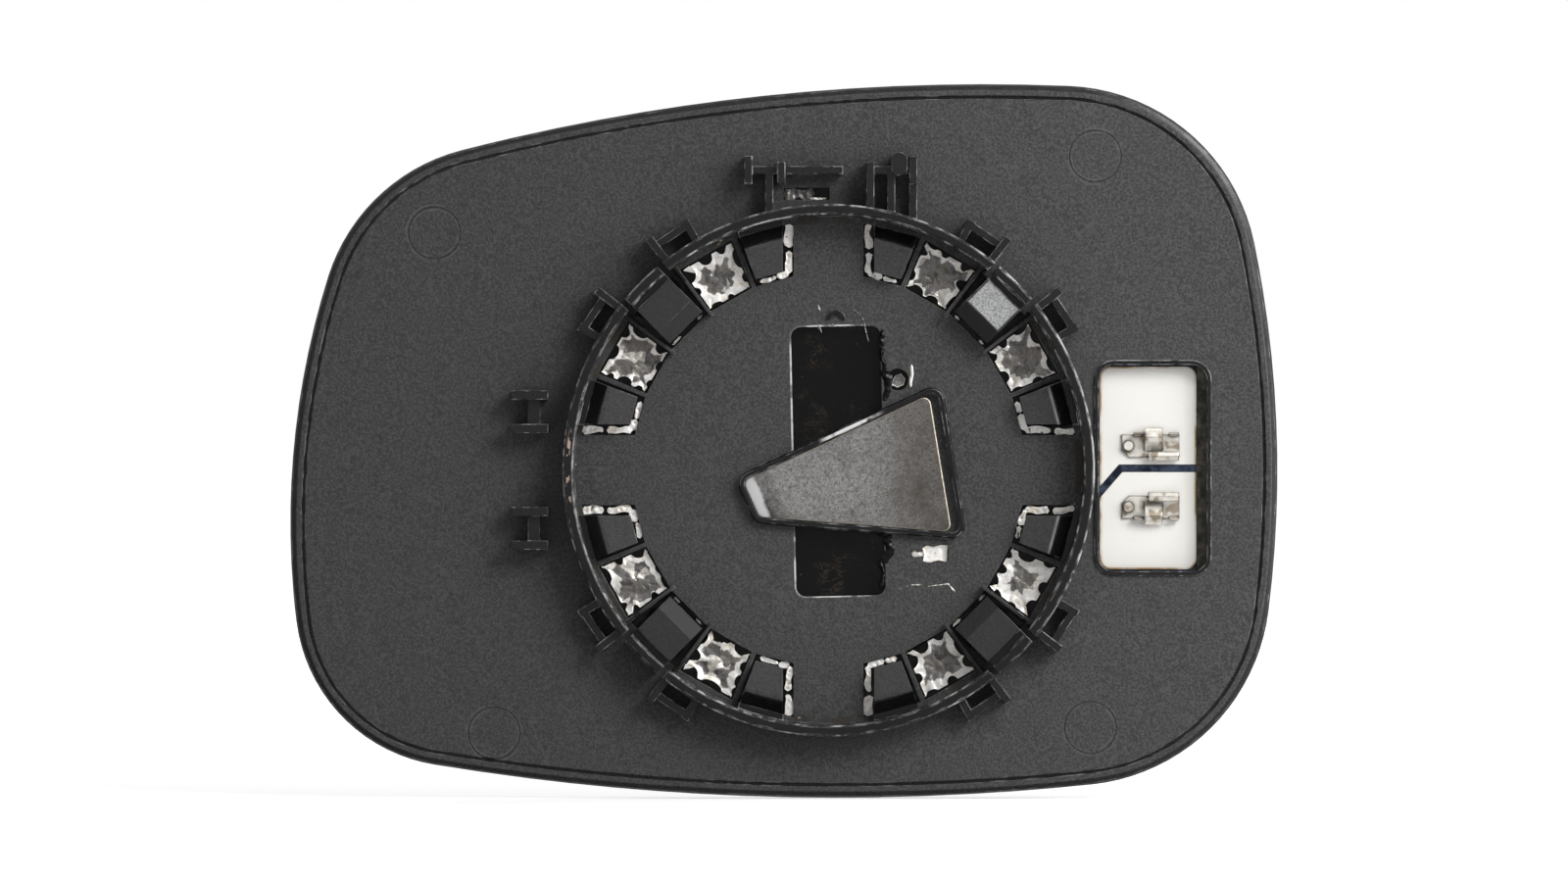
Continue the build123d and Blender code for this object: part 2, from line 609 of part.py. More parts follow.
# One moulding
standing = [ring, *lug_walls, round_tab, frame, arch, bead]
for quarter, angle in enumerate(latch_angles):
    standing.append(turn(latch, angle))
    for solid in tongue_pair:
        standing.append(turn(solid, QUARTER_TURN * quarter))
grown = standing[0].fuse(*standing[1:]) & ball(plate_middle)
carrier_plate = plate + grown

# Glass, heater film and adhesive sheet in front of the plate
mirror_glass = laminate(outline(RIM_WIDTH + GLASS_CLEARANCE), glass_back, glass_front)
mirror_glass = chamfer(curved_faces(mirror_glass)[-1].outer_wire().edges(), GLASS_EDGE_BEVEL)
heater_film = laminate(sheet_outline, film_back, glass_back)
adhesive_sheet = laminate(sheet_outline, plate_front, film_back)
sheet_web = Rectangle(2 * RING_OUTER_RADIUS, 2 * (TONGUE_WINDOW_OFFSET - SHEET_SLOT_MARGIN))
sheet_slots = Circle(ring_inner_radius) - Circle(window_inner_radius - SHEET_SLOT_MARGIN)
sheet_slots -= [sheet_web, Rot(0, 0, QUARTER_TURN) * sheet_web]
for flat in [sheet_slots, key_slot, *pad_flats(PAD_CLEARANCE)]:
    adhesive_sheet -= prism(flat, 0, glass_front)

# Steel insert lying on the plate inside its frame, with a bevelled tip
insert_back = plate_back - INSERT_THICKNESS
steel_insert = laminate(insert_flat, insert_back, plate_back)
tip_edge = Vector(INSERT_TIP_LOWER) - Vector(INSERT_TIP_UPPER)
tip_middle = (Vector(INSERT_TIP_LOWER) + Vector(INSERT_TIP_UPPER)) / 2
tip_inward = Vector(-tip_edge.Y, tip_edge.X).normalized()
tip_plane = Plane(
    origin=(tip_middle.X, curve_depth(insert_back, tip_middle.length), tip_middle.Y),
    x_dir=(tip_inward.X, 0, tip_inward.Y),
    z_dir=(-tip_inward.Y, 0, tip_inward.X),
)
bevel_points = [
    (-INSERT_TIP_BEVEL, 2 * INSERT_TIP_DROP),
    (2 * INSERT_TIP_BEVEL, -INSERT_TIP_DROP),
    (-INSERT_TIP_BEVEL, -INSERT_TIP_DROP),
]
bevel = make_face(tip_plane * Polyline(*bevel_points, close=True))
steel_insert -= extrude(bevel, amount=tip_edge.length, both=True)

# White pads, tinned terminals and rivets
terminal_x = pad_left + TERMINAL_FROM_LEFT + TERMINAL_LENGTH / 2
rivet_x = terminal_x + RIVET_FROM_END - TERMINAL_LENGTH / 2
base_points = [
    (-TERMINAL_LENGTH / 2, -TERMINAL_DEPTH / 2 + TERMINAL_TAPER),
    (-TERMINAL_LENGTH / 2 + TERMINAL_TAPER, -TERMINAL_DEPTH / 2),
    (TERMINAL_LENGTH / 2, -TERMINAL_DEPTH / 2),
    (TERMINAL_LENGTH / 2, TERMINAL_DEPTH / 2),
    (-TERMINAL_LENGTH / 2, TERMINAL_DEPTH / 2),
]
base_flat = make_face(Polyline(*base_points, close=True))
folds = [
    (SPRING_PLACE, SPRING_LINE),
    (ROLL_PLACE, ROLL_LINE),
    (LEFT_TAB_PLACE, TAB_LINE),
    (RIGHT_TAB_PLACE, TAB_LINE),
]


def rivet_shank(height, width, back):
    """Square bar at a terminal's rivet, from a depth down to the heater film."""
    return laminate(Pos(rivet_x, height) * Rectangle(width, width), back, film_back)


def rivet_hole(height):
    """Square hole for a rivet, through a terminal and its pad."""
    return rivet_shank(height, RIVET_SHANK_WIDTH + 2 * RIVET_CLEARANCE, terminal_back - CUT_MARGIN)


def fold(place, line, height, direction):
    """Folded strip of a terminal's sheet, upright or turned over, down to the middle of the base sheet."""
    along, width = place
    x = terminal_x + along
    depth = curve_depth(terminal_back, math.hypot(x, height))
    points = [(depth - rise, height + direction * distance) for rise, distance in line]
    strip = extrude(Plane.YZ * trace(Polyline(*points), TERMINAL_SHEET), amount=width / 2, both=True)
    return (Pos(x, 0, 0) * strip) & ball(terminal_back + TERMINAL_SHEET / 2)


def terminal(height, direction):
    """Terminal at a height above the axis: base sheet with a bowed spring, a rolled edge and two tabs."""
    base = base_flat if direction > 0 else mirror(base_flat, about=Plane.XZ)
    solid = laminate(Pos(terminal_x, height) * base, terminal_back, pad_back)
    for place, line in folds:
        solid += fold(place, line, height, direction)
    return solid - rivet_hole(height)


def rivet(height):
    """Rivet through a terminal and its pad, standing on the heater film."""
    head_back = terminal_back - RIVET_HEAD_HEIGHT
    head = pin((rivet_x, height), RIVET_HEAD_RADIUS, head_back, terminal_back)
    return head + rivet_shank(height, RIVET_SHANK_WIDTH, terminal_back - RIVET_HEAD_HEIGHT / 2)


terminal_upper = terminal(UPPER_TERMINAL_Z, 1)
terminal_lower = terminal(LOWER_TERMINAL_Z, -1)
terminal_rivets = Compound([rivet(UPPER_TERMINAL_Z).solid(), rivet(LOWER_TERMINAL_Z).solid()])
terminal_pad_upper = laminate(pad_upper_flat, pad_back, film_back) - rivet_hole(UPPER_TERMINAL_Z)
terminal_pad_lower = laminate(pad_lower_flat, pad_back, film_back) - rivet_hole(LOWER_TERMINAL_Z)

export_step(carrier_plate, "parts/carrier_plate.step")
export_step(mirror_glass, "parts/mirror_glass.step")
export_step(heater_film, "parts/heater_film.step")
export_step(adhesive_sheet, "parts/adhesive_sheet.step")
export_step(steel_insert, "parts/steel_insert.step")
export_step(terminal_pad_upper, "parts/terminal_pad_upper.step")
export_step(terminal_pad_lower, "parts/terminal_pad_lower.step")
export_step(terminal_upper, "parts/terminal_upper.step")
export_step(terminal_lower, "parts/terminal_lower.step")
export_step(terminal_rivets, "parts/terminal_rivets.step")
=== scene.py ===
import json
import math
import random

import bpy
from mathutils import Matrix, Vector, noise


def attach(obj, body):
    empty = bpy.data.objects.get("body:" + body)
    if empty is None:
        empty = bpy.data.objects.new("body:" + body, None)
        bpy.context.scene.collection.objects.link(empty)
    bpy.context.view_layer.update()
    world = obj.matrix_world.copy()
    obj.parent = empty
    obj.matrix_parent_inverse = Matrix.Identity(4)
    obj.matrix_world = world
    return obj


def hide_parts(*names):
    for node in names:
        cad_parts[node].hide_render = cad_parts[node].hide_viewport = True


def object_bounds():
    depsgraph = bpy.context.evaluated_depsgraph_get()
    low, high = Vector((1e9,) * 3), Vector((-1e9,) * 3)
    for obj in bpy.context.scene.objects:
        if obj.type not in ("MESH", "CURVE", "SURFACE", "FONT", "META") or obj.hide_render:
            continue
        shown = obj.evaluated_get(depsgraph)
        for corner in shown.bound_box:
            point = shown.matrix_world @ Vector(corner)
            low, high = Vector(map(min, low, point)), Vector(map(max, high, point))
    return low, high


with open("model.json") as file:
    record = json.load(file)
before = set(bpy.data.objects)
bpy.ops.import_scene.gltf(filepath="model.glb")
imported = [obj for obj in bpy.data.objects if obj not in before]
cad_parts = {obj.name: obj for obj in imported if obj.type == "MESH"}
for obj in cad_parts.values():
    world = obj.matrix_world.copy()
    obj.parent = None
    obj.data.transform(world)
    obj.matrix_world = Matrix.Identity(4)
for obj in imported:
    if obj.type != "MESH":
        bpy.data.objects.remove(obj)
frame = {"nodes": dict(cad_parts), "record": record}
nodes = frame["nodes"]
cad_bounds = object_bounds()

MM = 0.001


def mm(*values):
    """Lengths in metres, from millimetres."""
    return [value * MM for value in values]


# Curved layers, which share one centre: depths on the clip ring's axis, counted from the ring's mouth
CURVE_RADIUS = 1400 * MM
PLATE_BACK = 8.0 * MM
FILM_BACK = 11.0 * MM
GLASS_BACK = 11.3 * MM
GLASS_FRONT = 13.3 * MM
GLASS_BEVEL = 0.4 * MM
CURVE_CENTRE = GLASS_FRONT - CURVE_RADIUS

# Folds above this angle stay sharp, and edges are marked for painted highlights and wear where the softened
# normal leaves the true one
SHARP_FOLD = math.radians(35)
EDGE_WEAR_AND_HIGHLIGHT_STEP = (0.995, 0.90)

# Windows inside the clip ring: radii and a side in mm, and angles from the nearest upright or level axis
WINDOW_INNER = 35.8
WINDOW_OUTER = 45.2
RING_INNER = 46.4
TONGUE_WINDOW_SIDE = 6.4
TONGUE_WINDOW_MIDDLE = 14.87
CLAW_WINDOW_MIDDLE = 29.7
TONGUE_LEAN = math.radians(TONGUE_WINDOW_MIDDLE)

# Steps, from where a look starts to where it is full, and bands, from its start over its full part to its
# end. Heights are counted from the back of the plate, outwards.
STANDING_HEIGHT_STEP = mm(0.10, 0.30)
FRONT_HEIGHT_STEP = mm(-1.6, -2.6)
RIM_RADIUS_STEP = mm(49, 51)
RIM_HEIGHT_STEP = mm(-0.02, -0.10)
OUTSIDE_RING_STEP = mm(48.4, 48.8)
RING_FOOT_RADIUS_BAND = mm(44.9, 45.3, 46.5, 46.9)
RING_FOOT_HEIGHT_STEP = mm(1.4, 0.7)
TONGUE_RADIUS_BAND = mm(34, 35, 42.8, 43.4)
TONGUE_HEIGHT_BAND = mm(2.2, 2.6, 4.1, 4.4)
TONGUE_HEIGHT_STEP = mm(2.2, 2.6)
TONGUE_FOLD_BAND = mm(42.2, 42.7, 42.8, 42.9)
TONGUE_FOLD_LENGTH_BAND = mm(6.5, 9, 13, 17)
LATCH_RADIUS_STEP = mm(45.3, 45.0)
LATCH_HEIGHT_STEP = mm(3.0, 3.6)
LATCH_SIDE_STEP = mm(6.2, 6.0)
RIGHTWARD_PALING_STEP = mm(-85, 75)

# Pale painted reflection on the flat top of the upper right latch, along and across the diagonal, and by its
# depth
LATCH_FACE_BAND = mm(39.6, 39.85, 44.85, 45.1)
LATCH_FACE_SIDE_STEP = mm(3.85, 3.60)
LATCH_FACE_DEPTH_STEP = mm(1.6, 1.35)

# Mouth of the ring: painted highlight lines on both sides of the middle of its wall, and painted copper
# glints at the left
RING_WALL_MIDDLE = 47.4 * MM
MOUTH_DEPTH_STEP = mm(0.5, 0.3)
MOUTH_LINE_BAND = mm(0.62, 0.80, 1.0, 1.05)
COPPER_WIDTH_STEP = mm(0.36, 0.22)
COPPER_LEFT_STEP = mm(-40, -44)
COPPER_LEVEL_STEP = mm(8, 5)

# Rectangular window in the middle of the plate: middle, half size, corner radius, lean, and painted highlight
# round its edge
RECTANGLE_X = 1.8 * MM
RECTANGLE_Z = 1.6 * MM
RECTANGLE_HALF_WIDTH = 8.15 * MM
RECTANGLE_HALF_HEIGHT = 24.6 * MM
RECTANGLE_ROUND = 1.8 * MM
RECTANGLE_TILT = 0.021
RECTANGLE_EDGE_STEP = [RECTANGLE_ROUND + away for away in mm(0.34, 0.22)]
RECTANGLE_EDGE_HEIGHT_BAND = mm(-0.3, -0.2, 0.1, 0.2)
RECTANGLE_EDGE_LEFT_STEP = mm(6.0, 4.0)

# Upper edge of the insert: its left end and its direction. A painted highlight streak on the frame's wall
# lies beside it.
FRAME_START = mm(-15.6, -2.0)
FRAME_RUN = (0.907, 0.421)
STREAK_LENGTH_BAND = mm(15, 18, 25, 29)
STREAK_WIDTH_BAND = mm(0.25, 0.45, 0.8, 1.0)
STREAK_HEIGHT_STEP = mm(1.2, 1.4)

# Terminal window: its left side, the right side of the pads in it, and how softly looks change at both
TERMINAL_WINDOW_LEFT = 48.5 * MM
TERMINAL_WINDOW_SOFT = 0.5 * MM
PAD_RIGHT = 67.25 * MM
PAD_SOFT = 0.1 * MM

# White pads: middle and half size of the field they fill together, its corners, and its amber border
PAD_FIELD_X = mm(58.4, 8.8)
PAD_FIELD_Z = mm(0.35, 18.5)
PAD_ROUND = 2.0 * MM
PAD_TINT_STEP = mm(1.1, 0.0)
PAD_LINE_STEP = mm(0.42, 0.18)

# Steel insert, along its length: the painted shade before its tip, the painted highlight on the tip, and the
# brown on its right
STEEL_LEAN = 0.45
STEEL_SHADE_STEP = mm(-10.2, -12.6)
STEEL_TIP_STEP = mm(-12.4, -13.4)
STEEL_BROWN_STEP = mm(2, 18)

# Round ejector marks on the back of the plate: places in mm, radius, line width, and band of painted
# highlight
EJECTOR_PLACES = [(48.6, 57.2), (-71.9, 43.2), (-61.0, -48.0), (47.7, -47.0)]
EJECTOR_RADIUS = 4.7 * MM
EJECTOR_LINE = 0.22 * MM
EJECTOR_HIGHLIGHT_BAND = mm(0.24, 0.34, 0.46, 0.62)

# Adhesive smeared behind the windows: reach, lift and lumps in mm, and how fast and how the lumps change
SMEAR_INNER = WINDOW_INNER - 0.2
SMEAR_OUTER = RING_INNER - 0.2
SMEAR_SIDE = TONGUE_WINDOW_SIDE - 0.3
SMEAR_LIFT = 0.32
SMEAR_LUMPS = 0.14
SMEAR_RATE = 0.35
SMEAR_SEED = 3.0

# Foil in the open windows: how much more of each one is painted bright as highlight, middle and half size in
# mm, half angle in degrees, and the share of that angle which it fills
FOIL_SHINE = [0.02, 0.34, 0.21, 0.0, 0.05, 0.02, 0.09, 0.15]
STAR_MIDDLE = 40.3
STAR_HALF = 4.45
STAR_HALF_ANGLE = 6.9
STAR_FILL = 0.97
STAR_FIRST_SEED = 60

# Bites torn out of the sides of that foil, as shares of half a side, and depths in mm
BITE_FIRST = (0.25, 0.45)
BITE_LAST = 0.75
BITE_WIDTH = (0.12, 0.40)
BITE_GAP = (0.30, 1.00)
BITE_DEPTH = (0.40, 1.50)
BITE_FULL_WIDTH = 0.24
SIDE_INSET = 0.15
CORNER_CLIP = (0.0, 0.9)
CORNER_START = 0.8

# Slivers of foil along a tongue's window, in mm: outer and inner ends, and distances from the axis
SLIVER_OUTER = 44.9
SLIVER_INNER = WINDOW_INNER + 0.55
SLIVER_SIDE = TONGUE_WINDOW_SIDE + 0.85
SLIVER_END = 12.6

# Lifts of bits of foil and adhesive over the film, in mm
STAR_LIFT = 2.0
SLIVER_LIFT = 2.6
LATCH_SLIVER_LIFT = 1.8
KEY_SLOT_LIFT = 2.1
UPPER_SLOT_LIFT = 1.4
UPPER_SLIVER_LIFT = 1.8
SIDE_HOLE_LIFT = 1.8
PLATE_LIFT = 3.0
LUMP_LIFT = 2.97

# Slivers of foil on the plate, above the rectangle, beside the side hole and below the key slot:
# points in mm, width, seed, dome, and the share painted bright as highlight
PLATE_SLIVERS = [
    ([(4.4, 29.4), (5.9, 28.4), (6.5, 26.9), (6.9, 25.2), (7.4, 23.2)], 0.28, 71.0, 0.10, 0.70),
    ([(-2.0, 30.2), (-1.4, 28.8)], 0.50, 73.0, 0.10, 0.72),
    ([(-1.9, 26.5), (-1.2, 25.0)], 0.55, 79.0, 0.10, 0.72),
    ([(0.4, 26.3), (1.4, 26.5)], 0.50, 83.0, 0.10, 0.72),
    ([(-5.8, 27.0), (-5.2, 27.3)], 0.50, 89.0, 0.10, 0.72),
    ([(15.1, 19.2), (15.3, 17.4), (15.0, 14.9)], 0.55, 59.0, 0.15, 1.0),
    ([(13.0, -21.7), (15.2, -21.0), (17.4, -20.9)], 0.30, 61.0, 0.10, 0.70),
    ([(18.2, -21.2), (21.8, -20.8), (23.3, -22.5)], 0.34, 67.0, 0.10, 0.72),
]

# Lumps of adhesive beside the rectangle and at the side hole: points in mm, and width
LUMP_DOME = 0.28
LUMPS = [
    ([(9.9, 25.6), (9.8, 20.5), (10.4, 17.8)], 1.3),
    ([(10.2, 18.6), (10.9, 16.8), (10.8, 14.9), (9.9, 12.6)], 1.9),
    ([(9.4, -10.6), (11.0, -12.2), (11.2, -15.2), (9.8, -17.0)], 1.9),
    ([(9.7, -16.4), (10.0, -19.5), (9.5, -21.6)], 1.2),
]

# Stage, in metres: floor, the glow it shows to the camera by distance, plain light, and camera
FLOOR_HALF = 6.0
FLOOR_GAP = 0.1 * MM
FLOOR_GLOW_STEP = (0.15, 0.8)
FLOOR_GLOW = (0.48, 0.80)
PLAIN_LIGHT = 0.30
CAMERA_DISTANCE = 1.6
CAMERA_SHOWN_WIDTH = 0.286

# Colours of the carrier's marks
FOOT_BROWN = (0.028, 0.019, 0.011, 1.0)
# Painted copper glints at the ring's foot
FOOT_COPPER_GLINT = (0.50, 0.36, 0.24, 1.0)
# Painted copper glints on the ring's mouth
MOUTH_COPPER_GLINT = (0.42, 0.31, 0.26, 1.0)

# Colours of the glass and of the film behind it
GLASS_DULL = (0.85, 0.85, 0.855, 1.0)
GLASS_CLEAR = (0.89, 0.89, 0.893, 1.0)
FILM_SILVER = (0.93, 0.92, 0.90, 1.0)
FILM_STAIN = (0.70, 0.64, 0.58, 1.0)
FILM_DARK = (0.012, 0.010, 0.008, 1.0)

# Colours of the torn foil, with painted reflections on its facets and painted highlights on its edges
FOIL_DULL = (0.234, 0.226, 0.221, 1.0)
FOIL_STAIN = (0.102, 0.095, 0.090, 1.0)
FOIL_WEAVE = (0.40, 0.380, 0.370, 1.0)
FOIL_FACET_REFLECTION = (0.27, 0.247, 0.220, 1.0)
FOIL_BRIGHT_REFLECTION = (0.90, 0.85, 0.78, 1.0)
FOIL_EDGE_HIGHLIGHT = (1.0, 0.98, 0.95, 1.0)
FOIL_STAINED_HIGHLIGHT = (0.90, 0.80, 0.66, 1.0)

# Colours of the adhesive
SCRATCH_BROWN = (0.070, 0.052, 0.036, 1.0)
NAVY_DARK = (0.006, 0.010, 0.022, 1.0)
NAVY_PALE = (0.050, 0.066, 0.105, 1.0)
EARTH_DARK = (0.022, 0.022, 0.017, 1.0)
EARTH_PALE = (0.125, 0.112, 0.080, 1.0)

# Colours of the steel insert
STEEL_DARK = (0.135, 0.130, 0.127, 1.0)
STEEL_PALE = (0.415, 0.404, 0.395, 1.0)
STEEL_BROWN = (0.085, 0.074, 0.063, 1.0)
STEEL_SHADE = (0.040, 0.037, 0.036, 1.0)
# Painted highlight on the bevelled tip, and painted golden highlights along the edges
STEEL_TIP_HIGHLIGHT = (0.80, 0.79, 0.80, 1.0)
STEEL_GOLDEN_GLINT = (1.0, 0.90, 0.72, 1.0)

# Colours of the pads
PAD_WHITE = (0.90, 0.885, 0.845, 1.0)
PAD_CREAM = (0.86, 0.845, 0.80, 1.0)
PAD_WEAVE = (0.80, 0.775, 0.72, 1.0)
PAD_TINT = (0.70, 0.56, 0.38, 1.0)
PAD_AMBER = (0.30, 0.19, 0.085, 1.0)

# Colours of the terminals
TIN_BRIGHT = (1.0, 0.96, 0.88, 1.0)
TIN_BEIGE = (0.42, 0.36, 0.28, 1.0)
TIN_EDGE = (0.070, 0.038, 0.014, 1.0)
# Painted shade in the terminals' corners
TIN_CORNER_SHADE = (0.010, 0.008, 0.006, 1.0)


def layer_depth(axis_depth, x, z):
    """Depth of the curved surface that crosses the axis at a depth, at a place seen from behind."""
    return CURVE_CENTRE + math.sqrt((axis_depth - CURVE_CENTRE) ** 2 - x * x - z * z)


class Nodes:
    """Node tree, with short calls for the nodes used here."""

    def __init__(self, tree):
        self.tree = tree

    def feed(self, socket, value):
        """Link a socket, or set its value."""
        if isinstance(value, bpy.types.NodeSocket):
            self.tree.links.new(value, socket)
        else:
            socket.default_value = value

    def node(self, kind, inputs=(), **settings):
        """Add a node with its settings and inputs."""
        added = self.tree.nodes.new("ShaderNode" + kind)
        for name, value in settings.items():
            setattr(added, name, value)
        for name, value in dict(inputs).items():
            self.feed(added.inputs[name], value)
        return added

    def math(self, operation, *values):
        """Result of an arithmetic node."""
        return self.node("Math", dict(enumerate(values)), operation=operation).outputs[0]

    def length(self, first, second):
        """Length of an arrow with two sides."""
        squares = [self.math("MULTIPLY", value, value) for value in (first, second)]
        return self.math("SQRT", self.math("ADD", *squares))

    def both(self, *masks):
        """Product of several masks."""
        result = masks[0]
        for mask in masks[1:]:
            result = self.math("MULTIPLY", result, mask)
        return result

    def rest(self, mask):
        """What a mask leaves."""
        return self.math("SUBTRACT", 1.0, mask)

    def fade(self, value, start, end, low=0.0, high=1.0):
        """Smooth step from low to high while a value goes from start to end."""
        inputs = {"Value": value, "From Min": start, "From Max": end, "To Min": low, "To Max": high}
        return self.node("MapRange", inputs, interpolation_type="SMOOTHSTEP").outputs[0]

    def band(self, value, start, full, fading, end):
        """Mask that comes in from start to full and goes again from fading to end."""
        return self.both(self.fade(value, start, full), self.fade(value, end, fading))


class Graph(Nodes):
    """Node tree of one material."""

    def __init__(self, name):
        self.material = bpy.data.materials.new(name)
        self.material.use_nodes = True
        super().__init__(self.material.node_tree)
        self.shader = self.tree.nodes["Principled BSDF"]
        self.place = self.node("TexCoord").outputs["Object"]

    def set(self, **values):
        """Set or link inputs of the shader, with underscores for spaces in their names."""
        for name, value in values.items():
            self.feed(self.shader.inputs[name.replace("_", " ")], value)

    def axes(self):
        """The three coordinates of a place."""
        return self.node("SeparateXYZ", {0: self.place}).outputs

    def noise(self, size, detail=2.0, roughness=0.5, distortion=0.0):
        """Noise with features of about a given size."""
        inputs = {"Vector": self.place, "Scale": 1 / size, "Detail": detail}
        inputs.update({"Roughness": roughness, "Distortion": distortion})
        return self.node("TexNoise", inputs).outputs[0]

    def cells(self, size):
        """Distance pattern of scattered cells of about a given size."""
        inputs = {"Vector": self.place, "Scale": 1 / size}
        return self.node("TexVoronoi", inputs).outputs["Distance"]

    def mix(self, share, first, second):
        """Colour between two colours."""
        added = self.node("Mix", data_type="RGBA")
        self.feed(added.inputs[0], share)
        self.feed(added.inputs[6], first)
        self.feed(added.inputs[7], second)
        return added.outputs[2]

    def blend(self, share, first, second):
        """Number between two numbers."""
        added = self.node("Mix", data_type="FLOAT")
        self.feed(added.inputs[0], share)
        self.feed(added.inputs[2], first)
        self.feed(added.inputs[3], second)
        return added.outputs[0]

    def bump(self, height, distance, strength=1.0, normal=None):
        """Normal of a surface with a height pattern."""
        added = self.node("Bump", {"Height": height, "Distance": distance, "Strength": strength})
        if normal is not None:
            self.feed(added.inputs["Normal"], normal)
        return added.outputs[0]

    def edge_wear_and_highlight(self, radius):
        """Softened normal at sharp edges, and how much a place is on such an edge."""
        soft = self.node("Bevel", {"Radius": radius}, samples=6).outputs[0]
        true_normal = self.node("NewGeometry").outputs["Normal"]
        pair = {0: soft, 1: true_normal}
        agreement = self.node("VectorMath", pair, operation="DOT_PRODUCT").outputs["Value"]
        return soft, self.fade(agreement, *EDGE_WEAR_AND_HIGHLIGHT_STEP)


def grey(level, warmth=0.0):
    """Grey with a little warm or cool tint."""
    return (level * (1 + warmth), level, level * (1 - warmth), 1.0)


def latch_reflection(g, x, y, z):
    """Mask of the flat top of the upper right latch, where a pale reflection is painted."""
    along = g.math("MULTIPLY", g.math("ADD", x, z), math.sqrt(0.5))
    across = g.math("ABSOLUTE", g.math("MULTIPLY", g.math("SUBTRACT", z, x), math.sqrt(0.5)))
    face = g.both(g.band(along, *LATCH_FACE_BAND), g.fade(across, *LATCH_FACE_SIDE_STEP))
    return g.both(face, g.fade(y, *LATCH_FACE_DEPTH_STEP))


def ejector_marks(g):
    """Masks of the round ejector lines, painted dark as shade in their grooves, and of the broken painted
    highlights round them.
    """
    flat_place = g.node("VectorMath", {0: g.place, 1: (1.0, 0.0, 1.0)}, operation="MULTIPLY").outputs[0]
    nearest = None
    for place in EJECTOR_PLACES:
        pair = {0: flat_place, 1: (place[0] * MM, 0.0, place[1] * MM)}
        away = g.node("VectorMath", pair, operation="DISTANCE").outputs["Value"]
        nearest = away if nearest is None else g.math("MINIMUM", nearest, away)
    from_line = g.math("ABSOLUTE", g.math("SUBTRACT", nearest, EJECTOR_RADIUS))
    broken = g.fade(g.noise(3.5 * MM, detail=2.0), 0.44, 0.60)
    return g.fade(from_line, EJECTOR_LINE, 0.0), g.both(g.band(from_line, *EJECTOR_HIGHLIGHT_BAND), broken)


def ring_mouth_highlights(g, x, y, z, radius):
    """Masks of painted highlights in broken lines along both edges of the ring's mouth, and of painted copper
    glints at its left.
    """
    from_wall = g.math("ABSOLUTE", g.math("SUBTRACT", radius, RING_WALL_MIDDLE))
    on_mouth = g.fade(y, *MOUTH_DEPTH_STEP)
    dashes = g.fade(g.noise(2.6 * MM, detail=3.0, roughness=0.6), 0.44, 0.62, 0.06, 1.0)
    dashes = g.both(dashes, g.fade(g.noise(14 * MM, detail=2.0), 0.36, 0.60, 0.25, 1.0))
    lines = g.both(g.band(from_wall, *MOUTH_LINE_BAND), on_mouth, dashes)
    left = g.both(g.fade(x, *COPPER_LEFT_STEP), g.fade(g.math("ABSOLUTE", z), *COPPER_LEVEL_STEP))
    spots = g.fade(g.noise(2.2 * MM, detail=2.0), 0.49, 0.54)
    return lines, g.both(left, g.fade(from_wall, *COPPER_WIDTH_STEP), on_mouth, spots)


def tongue_fold_highlights(g, x, z, rise):
    """Mask of painted highlights on the folds of the two tongues on the right."""
    from_level = g.math("ABSOLUTE", z)
    reach_x = g.math("MULTIPLY", x, math.cos(TONGUE_LEAN))
    reach_z = g.math("MULTIPLY", from_level, math.sin(TONGUE_LEAN))
    fold = g.band(g.math("ADD", reach_x, reach_z), *TONGUE_FOLD_BAND)
    fold = g.both(fold, g.fade(rise, *TONGUE_HEIGHT_STEP), g.band(from_level, *TONGUE_FOLD_LENGTH_BAND))
    return g.both(fold, g.fade(g.noise(4 * MM), 0.3, 0.6, 0.3, 1.0))


def rectangle_edge_highlight(g, x, z, rise):
    """Mask of a painted highlight in a broken line on the plate round the rectangle, without its right side.
    """
    turned_x = g.math("ADD", g.math("SUBTRACT", x, RECTANGLE_X), g.math("MULTIPLY", z, RECTANGLE_TILT))
    tilt_z = g.math("MULTIPLY", x, RECTANGLE_TILT)
    turned_z = g.math("SUBTRACT", g.math("SUBTRACT", z, RECTANGLE_Z), tilt_z)
    over_x = g.math("SUBTRACT", g.math("ABSOLUTE", turned_x), RECTANGLE_HALF_WIDTH - RECTANGLE_ROUND)
    over_z = g.math("SUBTRACT", g.math("ABSOLUTE", turned_z), RECTANGLE_HALF_HEIGHT - RECTANGLE_ROUND)
    outwards = g.length(g.math("MAXIMUM", over_x, 0.0), g.math("MAXIMUM", over_z, 0.0))
    beside = g.both(g.fade(outwards, *RECTANGLE_EDGE_STEP), g.band(rise, *RECTANGLE_EDGE_HEIGHT_BAND))
    beside = g.both(beside, g.fade(turned_x, *RECTANGLE_EDGE_LEFT_STEP))
    return g.both(beside, g.fade(g.noise(3.0 * MM, detail=3.0), 0.38, 0.55, 0.1, 0.9))


def frame_highlight_streak(g, x, z, rise):
    """Mask of a painted highlight streak on the upper wall of the raised frame."""
    run_x, run_z = FRAME_RUN
    start_x = g.math("SUBTRACT", x, FRAME_START[0])
    start_z = g.math("SUBTRACT", z, FRAME_START[1])
    down = g.math("ADD", g.math("MULTIPLY", start_x, run_x), g.math("MULTIPLY", start_z, run_z))
    aside = g.math("SUBTRACT", g.math("MULTIPLY", start_z, run_x), g.math("MULTIPLY", start_x, run_z))
    streak = g.both(g.band(down, *STREAK_LENGTH_BAND), g.fade(rise, *STREAK_HEIGHT_STEP))
    streak = g.both(streak, g.band(aside, *STREAK_WIDTH_BAND))
    return g.both(streak, g.fade(g.noise(3.0 * MM, detail=2.0), 0.40, 0.56))


